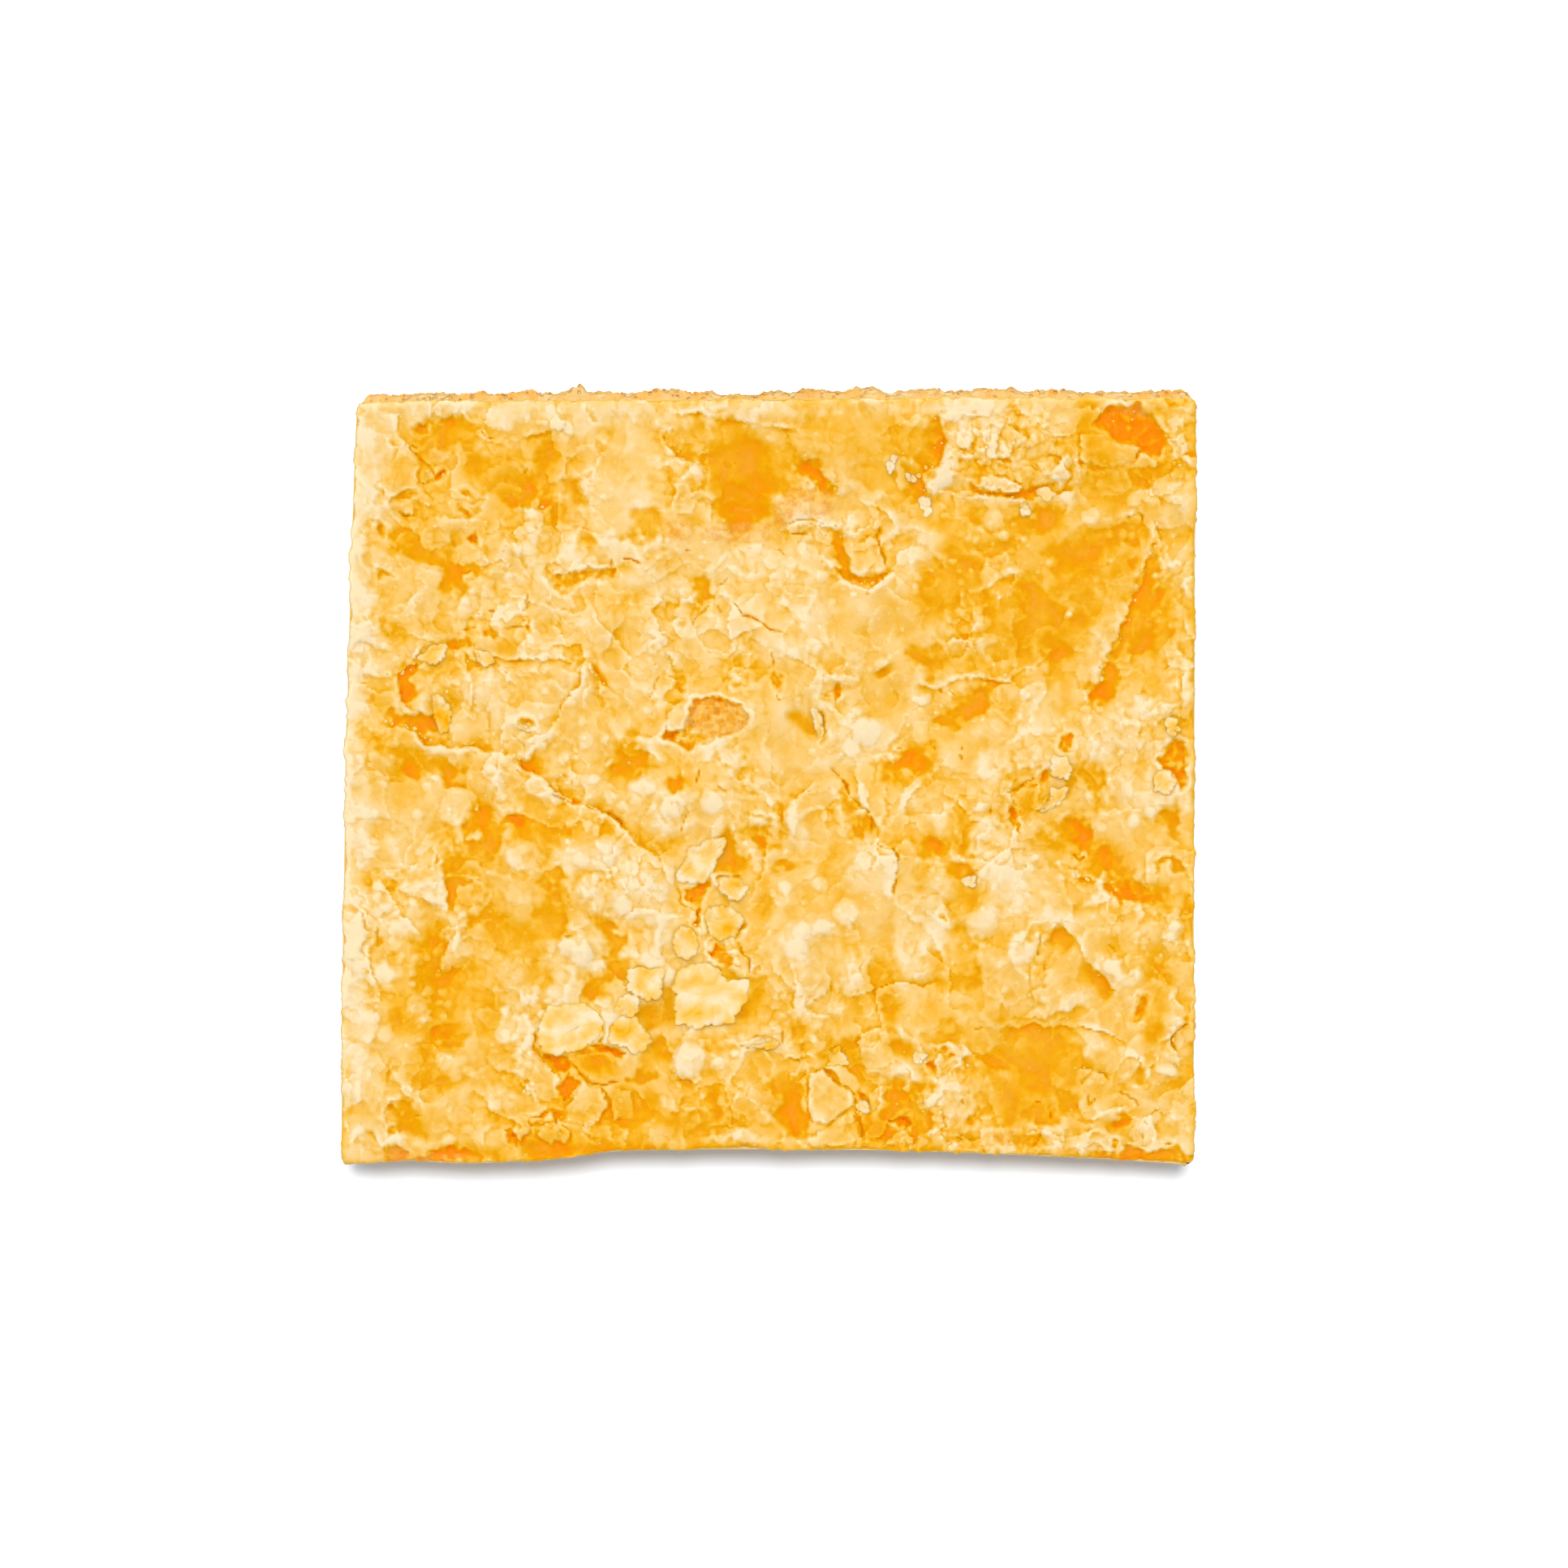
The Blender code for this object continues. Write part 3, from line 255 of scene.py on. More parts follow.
# Broken edges of the skin, which stand proud on the left of the way they run: rise, points
LIPS = (
    (0.65, (-10, -8.9), (-11, -7.5), (-13, -6), (-14.5, -4.6), (-16.5, -3.3), (-18.5, -3),
     (-20.5, -1.9), (-22.3, -0.1), (-23.4, 1), (-25, 2), (-28.5, 2.6), (-31, 3.2), (-33.2, 3.3),
     (-34.2, 4.2), (-36, 4.7), (-38.2, 5.5)),
    (0.5, (30.6, 6.6), (31.3, 8), (32, 9.8), (33.2, 12), (34, 14), (35, 16.1), (36, 18.4), (36.3, 20.5),
     (37, 22), (37.3, 24)),
    (0.5, (-18.2, 10.8), (-18.6, 9), (-19.8, 7), (-20.3, 5.6), (-21.5, 4.3), (-24.3, 3.4)),
    (0.5, (-15.2, 8.2), (-17.9, 11.3)),
    (0.55, (-30.6, 12.1), (-28, 11), (-26.8, 11.6), (-25.4, 11.1), (-23, 11.6), (-21, 11.4), (-19, 11.2)),
    (0.5, (-34, 6), (-35.4, 6.8), (-36, 8.3), (-35.8, 10), (-34.3, 11.4), (-33.9, 12.9)),
    (0.35, (-10, 35.1), (-6, 34.7), (-2, 34.4), (0.3, 33.9), (4, 33.8)),
    (0.4, (-7, 30.1), (-8.8, 30.9), (-10, 32.2), (-10.1, 33.6)),
    (0.35, (3.5, 30.7), (5.2, 29.2), (6.6, 27.9), (7.1, 26.7)),
    (0.5, (12.2, 20), (11.4, 19), (9.8, 18.2), (7.6, 18.7), (6.4, 19.7), (5.9, 20.8)),
    (0.55, (16.4, 35.6), (17, 32.4), (16.6, 30.6), (15.4, 29.9), (14.7, 29.2), (15.2, 28.2), (16, 27)),
    (0.7, (30, 28.1), (28.3, 27.6), (25.5, 26.8), (23.6, 26.9), (20.2, 27.2), (19, 26.7)),
    (0.45, (14, 8.7), (17, 9), (20.5, 9.5), (23.4, 9.3), (24.6, 10.2)),
    (0.4, (-21.2, 26), (-22.6, 25.9), (-24.9, 26.1)),
    (0.35, (-24.2, 32.9), (-21.5, 33.6), (-19.4, 33.8)),
    (0.35, (-34.5, 31.5), (-35.6, 33), (-36.3, 34), (-36.1, 35.4)),
    (0.45, (-21.2, 19.9), (-19, 20.3), (-17, 20.3), (-14.6, 20.2)),
    (0.35, (-27.8, 20.1), (-27.3, 21), (-27.8, 22.2)),
    (0.3, (-27.8, -3.6), (-28.2, -2), (-30, -1.2), (-32, -1.5)),
    (0.35, (-39.9, -22.2), (-38.1, -22), (-37.9, -21), (-38.4, -19), (-38.5, -17), (-38, -15.8),
     (-38.2, -14)),
    (0.4, (-30.2, -15), (-31, -15.8), (-31.7, -17.4), (-31.9, -19)),
    (0.3, (-38.8, -26), (-38.2, -24.2), (-38.3, -22.6)),
    (0.35, (12, -11.8), (12.6, -8.6), (11.8, -6.9), (10.4, -6.5)),
    (0.3, (4.5, -0.2), (3.3, -1.6), (1.9, -3.1), (1.2, -4.6)),
    (0.35, (26.7, -18.2), (26.9, -20.3), (25.3, -20.9), (25.7, -22.2)),
    (0.35, (29.4, -9.2), (31, -9.9), (33, -10.6), (34.2, -12)),
    (0.3, (-12.9, 14), (-11, 13.5), (-10, 12.6)),
    (0.35, (-24.8, -28.7), (-23.6, -29.9), (-22.4, -31.8)),
    (0.3, (20.2, -24.5), (25, -24.4), (30, -24.2), (32.3, -24.9), (34.6, -26)),
    (0.35, (-9.7, -28.2), (-8.5, -29.4), (-7, -30)), (0.3, (-35.8, -11.2), (-34, -12), (-31, -12.4)),
    (0.3, (33.2, -29.8), (32.6, -28.9), (31.3, -28.4), (29.9, -28.2)),
    (0.3, (29.4, -31.6), (30.2, -32.8), (31.4, -33.1), (32.8, -32.4)),
    (0.35, (39.6, -26.8), (39, -25.8), (39.3, -24.8), (40.4, -24)),
    (0.4, (38.3, 20.6), (37.8, 22.4), (37.4, 24.6)), (0.35, (-10.2, 12.6), (-9.2, 10.9), (-8.4, 10)),
    (0.35, (28, -14.2), (29.4, -15.6), (30.4, -17.6), (32.2, -19.4), (33.9, -20.9)),
    (0.3, (-25.8, -3.9), (-22.4, -4.4), (-20, -5), (-18.2, -4.4)),
    (0.35, (-39.6, 10.2), (-37.4, 10), (-35.9, 10.1)),
    (0.4, (17.6, -29.6), (18.7, -28.2), (18.6, -26.6), (17.3, -25.8), (15.9, -26.2)),
)

# Holes broken through the skin: tone of the floor, crumb showing, depth, outline
HOLES = (
    (0.7, 0, 1.1, (-9.3, 3), (-10.4, 3.6), (-10.2, 4.6), (-9.8, 5), (-9.5, 4.4), (-8.4, 4.6), (-8, 5.6),
     (-7.9, 6.4), (-7.2, 7.6), (-5.2, 7.8), (-4, 7.6), (-2.7, 6.8), (-1.9, 6), (-2.3, 4.8), (-4, 3.8),
     (-5.6, 3.4), (-6.8, 2.9), (-7.6, 2)),
    (0.9, 0.34, 0, (-8, 5.2), (-7.9, 6.4), (-7.2, 7.6), (-5.2, 7.8), (-4, 7.6), (-2.7, 6.8), (-1.9, 6),
     (-3.6, 5.8), (-5.2, 5.9), (-6.4, 5.2), (-7.4, 4.4), (-8.2, 4)),
    (1.12, 0, 0.8, (-10.4, 3.7), (-10.2, 4.6), (-9.8, 4.9), (-9.3, 4.4), (-8.3, 4.5), (-9.1, 3.7),
     (-9.5, 3.2)),
    (1.06, 0, 0.5, (-8.8, 3.6), (-7.9, 5.2), (-7.9, 6.4), (-7.2, 7.5), (-6.6, 7), (-7, 6.1),
     (-7.3, 5.3), (-8, 3.6)),
    (1.36, 0, 0.9, (31.4, 34.1), (32.2, 35.6), (34, 36.1), (36, 36.2), (37.7, 34.4), (38.5, 33.4),
     (38.4, 32), (37.8, 30.9), (36.2, 31.4), (35.6, 32.2), (33.6, 32.5), (32.5, 33.5)),
    (1.18, 0, 1.2, (-32.5, 29.2), (-31.9, 29.7), (-31.5, 29.2), (-32.1, 28.7)),
    (1.08, 0, 1.0, (-29.6, 23.2), (-28.4, 23.7), (-28.1, 22.2), (-28.7, 22.3)),
    (0.88, 0, 0.5, (-34.2, 34.4), (-33.3, 34.1), (-33.3, 33.3), (-34, 33), (-34.4, 33.6)),
    (0.86, 0, 0.5, (-36.8, 32.5), (-36, 32.8), (-35.8, 32.2), (-36.5, 32.1)),
    (0.88, 0, 0.5, (-30.6, 26.3), (-29.9, 26.3), (-28.6, 25), (-29.2, 24.9), (-30.3, 25.7)),
    (0.88, 0, 0.5, (-30.3, 28), (-29.6, 27.9), (-28.9, 27.3), (-27.6, 26.9), (-29.1, 26.6), (-29.9, 27.5)),
    (0.84, 0, 0.4, (-37.2, 27.5), (-36.6, 26.9), (-35.4, 27.7), (-34.2, 27.3), (-34.9, 27), (-36, 26.7),
     (-36.8, 26.6)),
   
    (0.84, 0, 0.5, (-38.7, 24.8), (-37.9, 24.6), (-37.1, 24.2), (-37.5, 23.3), (-38.2, 23.4), (-38, 24.1)),
    (0.76, 0, 0.4, (-38.2, 20.1), (-37.3, 20), (-36.5, 19.2), (-37.9, 19)),
    (0.76, 0, 0.4, (-21.6, 18.8), (-20.2, 20), (-17, 20.1), (-14.8, 19.9), (-14.5, 19.2), (-17.5, 18.9),
     (-18.8, 18.5), (-19.5, 17.3)),
    (1.18, 0, 0.6, (-15.9, 20.1), (-14.7, 20.2), (-14.6, 19.6), (-15.3, 19.8)),
    (0.96, 0, 0.5, (-23.7, 14.7), (-23, 14.6), (-22.7, 13.8), (-23.3, 14)),
    (0.86, 0, 0.5, (-27.7, 14.3), (-26.4, 14.5), (-26.2, 13.7), (-27, 13.2), (-27.7, 13.7)),
    (0.92, 0, 0.6, (-31.3, 13.4), (-30, 13.2), (-29, 13.4), (-28.6, 12.6), (-29.8, 12), (-31, 12.2)),
    (0.86, 0, 0.5, (-0.2, 9.6), (0.4, 10), (1.5, 9.7), (1.3, 8.9), (0.9, 8.1)),
    (0.9, 0, 0.6, (6.2, 9.2), (6.9, 9.1), (7.2, 8.6), (7, 8.1), (6.2, 6.9), (6.1, 7.8)),
    (0.88, 0, 0.6, (4.6, 6.5), (5.1, 6.3), (5.6, 4.6), (5.4, 3.2), (5, 3.2), (5.1, 4.4)),
    (0.88, 0, 0.5, (-9.9, 9.8), (-8.2, 9.6), (-8.2, 8), (-8.8, 8.4)),
    (0.9, 0, 0.8, (6.2, 20.2), (7.3, 20), (9, 19.6), (11.3, 19.4), (10.4, 18.5), (8.6, 18.7), (7.2, 19.2)),
    (0.95, 0, 0.6, (19.2, 28.6), (20, 28.4), (20.8, 27.7), (24, 27.4), (24.9, 28.1), (27.6, 28.4),
     (27.8, 27.9), (26, 27.3), (24, 27.1), (20.6, 27.3), (19.6, 27.6)),
    (1.14, 0, 0.8, (31, 30.5), (31.4, 29.6), (32.6, 29.8), (31.6, 30)),
    (1.12, 0, 0.7, (30, 30.6), (30.5, 30.3), (30.4, 29.7)),
    (0.96, 0, 0.9, (39.2, 4), (40.2, 3.4), (40.6, 1.3), (40.5, -0.5), (39.8, -1.4), (39.3, -0.3),
     (38.9, 0.3), (37.8, 0.9), (37.5, 1.4), (38.1, 2.2), (38.9, 3.2)),
    (1.14, 0, 0.6, (37.9, 0.9), (38.9, 1.1), (39.9, 0.8), (39, 0.2), (38.5, 0.5)),
    (0.86, 0, 0.6, (28.2, 3.6), (28.9, 4.3), (29.5, 4), (29.2, 2.4), (28.3, 2)),
    (1.02, 0, 0.8, (26.1, 0), (26.7, 0.9), (27.4, 0.4), (27.1, -0.6), (26.3, -0.5)),
    (1.04, 0, 0.8, (23.3, -2.6), (23.8, -3.2), (24.5, -5.2), (24.7, -6), (24, -5.2), (23.1, -3.9)),
    (1.04, 0, 1.0, (-8.2, -10.8), (-6.8, -10.4), (-5.7, -9.5), (-5.5, -10.3), (-6.3, -11.2),
     (-6.7, -12.6), (-6.4, -14.8), (-7.3, -14.5), (-7.1, -12.8), (-8, -12)),
    (1.2, 0, 0.6, (-8.1, -11.8), (-7.3, -12), (-7.2, -12.6), (-7.8, -12.3)),
    (0.98, 0, 0.7, (-2.5, -14), (-2.1, -14.6), (-2.8, -15.6), (-3.5, -15.9), (-3.2, -15)),
    (1.02, 0, 0.8, (-5.1, -16), (-4.8, -16.5), (-3.6, -17.4), (-2.6, -18.6), (-4.8, -18.2),
     (-5.6, -17.6), (-6.1, -17.1), (-5.3, -16.6)),
    (1.14, 0, 1.1, (-22.2, -27.1), (-20.5, -26.8), (-19.4, -27), (-19.2, -28.3), (-19.8, -28.9),
     (-21, -28)),
    (1.06, 0, 0.9, (-19.5, -28.7), (-18.2, -29.3), (-18.7, -30.2), (-20.1, -31.9), (-20.5, -30.2)),
    (1.14, 0, 1.0, (-17.4, -25.9), (-16, -25.8), (-14.8, -26.3), (-13.9, -26.9), (-14.6, -27.4),
     (-15.6, -26.8), (-16.8, -26.4)),
   
    (0.98, 0, 0.8, (-22, -24.3), (-22.5, -24.9), (-22.6, -26.2), (-22.2, -27.1), (-23, -26.6), (-23, -25)),
    (1.0, 0, 0.8, (-15.7, -23.7), (-15.8, -24.9), (-16.2, -25.8), (-16.7, -25.7), (-16.2, -24.9)),
    (1.04, 0, 0.8, (-25.9, -34.1), (-25, -34.1), (-24.6, -35.3), (-24.5, -36), (-25.4, -35.2)),
    (0.98, 0, 0.7, (-23.6, -33.1), (-22, -32.6), (-20.9, -32.1), (-20.2, -32.6), (-19.6, -33.4),
     (-21, -32.9), (-22, -33.2)),
    (1.0, 0, 0.6, (-18, -34.5), (-17.2, -35), (-16.6, -34.9), (-16.8, -35.4), (-17.5, -35.3)),
    (1.06, 0, 0.9, (15.1, -27.9), (16, -27.5), (16.1, -28.6), (15.9, -29)),
    (0.9, 0, 0.6, (15.8, -26.3), (17, -26.2), (18, -27.2), (17.3, -27.4), (16.2, -26.9)),
    (1.08, 0, 0.8, (11.8, -33.4), (12.7, -33), (13.4, -32.6), (13.9, -33.6), (13.2, -34.2), (12.4, -33.8)),
    (0.96, 0, 0.7, (8, -30.6), (8.8, -30.5), (10, -31.2), (9.9, -32.1), (8.8, -31.4)),
    (0.9, 0, 0.6, (16.5, -13.6), (16.9, -13.5), (17.5, -14.1), (16.9, -14.1)),
    (0.95, 0, 0.5, (35.8, -21.2), (37, -21.3), (36.3, -23), (35.6, -24.2), (34.9, -24), (35.5, -22.8)),
    (0.95, 0, 0.5, (-18.6, 11.2), (-17.9, 11.2), (-18.3, 10.4)),
    (0.95, 0, 0.7, (-24.7, 5.6), (-23.6, 5.7), (-22.8, 4.9), (-23.8, 5.1)),
    (1.16, 0, 0.7, (-19.3, -2.6), (-18.7, -2.2), (-18.3, -2.7), (-18.8, -2.9)),
    (0.98, 0, 0.6, (38.4, -35.4), (39.3, -35.3), (38.9, -35.9), (38.5, -35.8)),
    (0.98, 0, 0.6, (33.4, -35.2), (34, -35.2), (34, -36.1), (33.3, -35.8)),
    (0.92, 0, 0.5, (19.2, -32.9), (19.8, -32.8), (19.9, -33.8), (19, -33.9)),
    (1.0, 0, 0.5, (-10.3, 33.3), (-9.9, 33.6), (-9.8, 32.6), (-10.2, 32.5)),
    (0.94, 0, 0.5, (-37.4, -31.6), (-36.6, -31.6), (-36.3, -32.3), (-37.2, -32.5)),
    (0.92, 0, 0.5, (-36.9, -34.3), (-36.5, -34.2), (-36.2, -34.8), (-37, -34.9)),
)

# Plates of skin that lie whole between cracks: tone, thickness, outline
PLATES = (
    (0.6, 0.25, (-35.9, 31.9), (-38, 28.2), (-36.9, 26.9), (-35.4, 27.8), (-33.5, 27.5), (-34.2, 28.4),
     (-34.1, 30.6)),
    (0.5, 0.25, (-36, 26.6), (-34.6, 26.9), (-34.4, 25.4), (-35.5, 25.2)),
    (0.52, 0.3, (8.4, 22.6), (9.9, 23.2), (10.6, 23), (11.2, 20.3), (11, 19.6), (8.2, 19.9),
     (7.3, 20.6), (7.9, 22)),
    (0.16, 0.35, (16.5, 35.1), (18, 35.4), (19.9, 35.2), (19.4, 34.4), (17, 34.6)),
    (0.34, 0.3, (18.2, 33.5), (18.9, 34), (20, 32.9), (19.6, 31.7), (18.1, 31.8)),
    (0.3, 0.4, (20.3, 29.1), (22, 29.2), (24.7, 28.3), (24.2, 27.5), (21.8, 27.4), (20.7, 27.9)),
    (0.4, 0.3, (22.6, 34.2), (24, 33.8), (25.2, 32.4), (23.4, 31.8), (22, 32.8)),
    (0.42, 0.3, (25.6, 30.4), (27.4, 30.9), (29.3, 29.6), (28.8, 28.6), (26.8, 28.9)),
    (0.8, 0.3, (30, 33.2), (31.5, 33.5), (33.5, 32.3), (35.9, 31.9), (35.4, 30.6), (33, 30), (31.8, 30),
     (30.2, 30.6)),
    (0.58, 0.3, (36, 31.3), (38, 30.4), (37.6, 29.8), (35, 29.9)),
    (0.7, 0.3, (-9.6, 7.2), (-8.5, 7.2), (-8.1, 5.8), (-8.3, 4.8), (-9, 4.9), (-9.8, 5.2)),
    (0.78, 0.25, (23.6, -2), (24.6, -1.4), (26.3, -0.7), (27.3, -1), (27.3, -2), (26.9, -2.9),
     (25.5, -3.6), (24.1, -3.3)),
    (0.62, 0.3, (16, -27.2), (17, -27), (17.2, -28.6), (16.2, -29.3)),
    (0.42, 0.35, (-24.7, -28.4), (-24.5, -27.1), (-23, -27.1), (-21.5, -27.9), (-20.4, -29),
     (-20.6, -31.4), (-22, -31.8), (-23.2, -29.9)),
    (0.92, 0.3, (-19.2, -27.3), (-17.2, -26.7), (-16, -26.5), (-15.1, -27.5), (-14.6, -29.3),
     (-16, -29.8), (-17.4, -29.3), (-18.6, -28.5)),
    (0.56, 0.35, (-18, -29.5), (-16.4, -30.4), (-15.6, -31.6), (-16.5, -33.5), (-17.8, -34.2),
     (-19.6, -33.2), (-19.8, -32.2), (-18.7, -30.8)),
    (0.7, 0.3, (-14.8, -30), (-13.4, -30.6), (-13.2, -33), (-14.9, -33.6), (-15.4, -31.8)),
    (0.84, 0.3, (-24.6, -33.6), (-23.4, -33.3), (-23.2, -34.6), (-24.2, -35.4), (-24.9, -34.8)),
    (0.86, 0.3, (-22.1, -33.6), (-20.6, -33.4), (-19.4, -34.4), (-19.8, -35.6), (-21.8, -35.6),
     (-22.5, -34.8)),
    (0.42, 0.35, (3.7, -28.9), (4.5, -28.7), (5.3, -28.2), (6.4, -29.7), (7.8, -30.5), (8, -31.7),
     (7.2, -32.6), (5.6, -33.9), (3.9, -33), (3.8, -30.5)),
    (0.56, 0.3, (5.6, -34.3), (7.9, -32.4), (8.5, -33.6), (9, -35.6), (6.5, -35.9), (4, -35.8),
     (3.6, -34.9)),
   
    (0.96, 0.25, (8.9, -33.1), (10.2, -32.7), (11.5, -33.5), (11.3, -34.4), (10.3, -35.2), (9.1, -35.1)),
    (0.54, 0.3, (8.4, -25.9), (9.9, -24.3), (11.5, -24.7), (12, -26.3), (12.2, -27.9), (11.4, -29.1),
     (9.8, -28.8), (9.1, -27.5)),
    (0.5, 0.25, (5.4, -28), (7.4, -28.1), (8.6, -29.4), (8.9, -30.2), (7.4, -30.1), (6.6, -29.2)),
    (0.8, 0.3, (11.8, -34.6), (13, -34.4), (13.9, -35.4), (12.6, -36), (11.2, -35.6)),
    (0.34, 0.3, (-4.6, -25.4), (-2.2, -25.6), (0.6, -25.2), (0.8, -26.2), (-1.8, -26.4), (-4, -26.2)),
    (0.34, 0.3, (38.6, 32.8), (40.4, 33.4), (40.6, 31.4), (39.4, 30.6)),
    (0.4, 0.3, (38.6, 34.6), (40.2, 34.8), (40.5, 33.8), (38.9, 33.8)),
    (0.66, 0.25, (25.4, -18.4), (26.6, -18.4), (26.8, -20.3), (25.6, -20.7), (25.2, -19.6)),
)

# Flakes that have come loose and curl up off the skin: tone, lift of the rim, outline
FLAKES = (
    (0.16, 0.9, (-8.9, -19.3), (-7.3, -18.4), (-6.3, -18), (-5.5, -18.3), (-4, -18.2), (-2.9, -19.2),
     (-2.1, -19.5), (-2, -20.6), (-2.3, -21.8), (-3.1, -22.8), (-3.7, -23.8), (-5.2, -24.2),
     (-6.9, -24.3), (-9, -23.9), (-9.1, -22.6), (-9.2, -20.5)),
    (0.14, 0.9, (-8.9, -9.6), (-8.1, -8.2), (-7.6, -7.2), (-5.8, -6.3), (-4.3, -5.9), (-4.5, -7),
     (-5.2, -8.2), (-5.9, -9.8), (-6.6, -10.3), (-8.3, -10.1)),
    (0.2, 0.6, (-4.9, -10.1), (-3, -9.9), (-2.2, -10.8), (-3, -12), (-3.7, -11.8), (-4.6, -11)),
    (0.36, 0.7, (-6.2, -13.2), (-5, -12.6), (-3.5, -12.9), (-2.6, -13.9), (-3.4, -15.3), (-4.7, -15.9),
     (-5.8, -15.2), (-6.3, -14.2)),
    (0.2, 0.7, (-8.6, -14.6), (-7.3, -14.5), (-6.9, -15.6), (-6.8, -16.7), (-8, -17.6), (-9, -17.4),
     (-9.2, -16)),
    (0.12, 0.8, (-12.9, -18.1), (-11.4, -18.6), (-10.2, -18.4), (-10.4, -20), (-10.7, -21.3),
     (-11.8, -21.7), (-12.6, -21.1), (-13.8, -20.8), (-13.6, -19.4)),
    (0.26, 0.6, (-14.9, -22.2), (-13.8, -21.2), (-13, -21.4), (-12.8, -22.5), (-13.4, -23.3),
     (-14.8, -23.1)),
    (0.32, 0.7, (-15.4, -24.2), (-14.4, -23.5), (-13.1, -23.4), (-11.5, -25.7), (-12.3, -26.2),
     (-13.1, -26.8), (-14.3, -26), (-15.6, -25.8)),
    (0.14, 0.7, (-22, -23.4), (-21.2, -22.5), (-19.5, -22.1), (-18, -22.1), (-16.6, -22.8),
     (-15.9, -23.8), (-16.3, -24.8), (-17.3, -25.8), (-18.6, -26.5), (-20.3, -26.8), (-21.8, -26.7),
     (-22.4, -25.8), (-22.3, -24.6)),
    (0.16, 0.6, (4.1, 6.4), (4.5, 6.5), (5.3, 4.4), (5.2, 3.9), (4.9, 3.9)),
    (0.12, 0.5, (26.1, 27.6), (27, 27.8), (27.8, 27.3), (26.9, 26.9)),
    (0.12, 0.6, (14.6, 26.8), (15.4, 26.9), (15.6, 25.8), (15, 25.6)),
    (0.12, 0.7, (27.6, 1.9), (28.8, 2), (29.2, 0.9), (28.9, -0.2), (27.8, -0.1), (27.4, 0.9)),
    (0.16, 0.6, (27.4, -1.2), (28.8, -1.3), (28.4, -2.2), (27.1, -3), (26.5, -3.3), (27.3, -2.4)),
    (0.14, 0.7, (38.3, 5.6), (39.4, 5.4), (39.7, 4.5), (39.2, 3.9), (38.6, 4.3)),
    (0.12, 0.8, (37.8, 0.6), (38.8, 0.3), (39.2, -0.5), (38.7, -1.6), (37.4, -1.4), (37.3, -0.3)),
    (0.1, 0.5, (18.7, -10.1), (19.9, -9.7), (19.9, -10.6), (19.4, -10.7)),
    (0.12, 0.5, (14.3, -27), (15.2, -27.1), (14.6, -27.8), (13.9, -27.5)),
    (0.2, 0.5, (8.5, -31.6), (9.2, -31.5), (9.6, -32.3), (8.7, -32.4)),
    (0.2, 0.6, (24.3, 26.3), (24.8, 26.4), (25, 25.6), (24.6, 25.5)),
    (0.2, 0.7, (-33.2, 12.6), (-31.4, 12.8), (-31.6, 11.6), (-32.4, 10.8), (-34, 11.4)),
    (0.24, 0.6, (-28.6, 12.2), (-27.4, 12.1), (-26.9, 11.2), (-27.6, 10.8), (-28.3, 11.2)),
    (0.5, 0.6, (-32.6, 7.8), (-31.8, 7.8), (-30.8, 6), (-31.2, 4.4), (-31.8, 4.3), (-32.3, 6)),
    (0.14, 0.4, (-24.4, 5.3), (-23.8, 5.2), (-23.4, 4.5), (-24.1, 4.7)),
    (0.3, 0.5, (-1.9, -26), (-0.6, -25.5), (0.9, -25.9), (-0.2, -26.5)),
    (0.36, 0.5, (6.1, -26.6), (6.7, -26.4), (7.6, -27.9), (5.4, -27.9)),
    (0.16, 0.5, (11.3, 30.2), (12, 31), (12.3, 30.9), (11.7, 29.4)),
    (0.12, 0.4, (13.4, 29.2), (14, 29.2), (14.2, 28.7), (13.5, 28.6)),
)

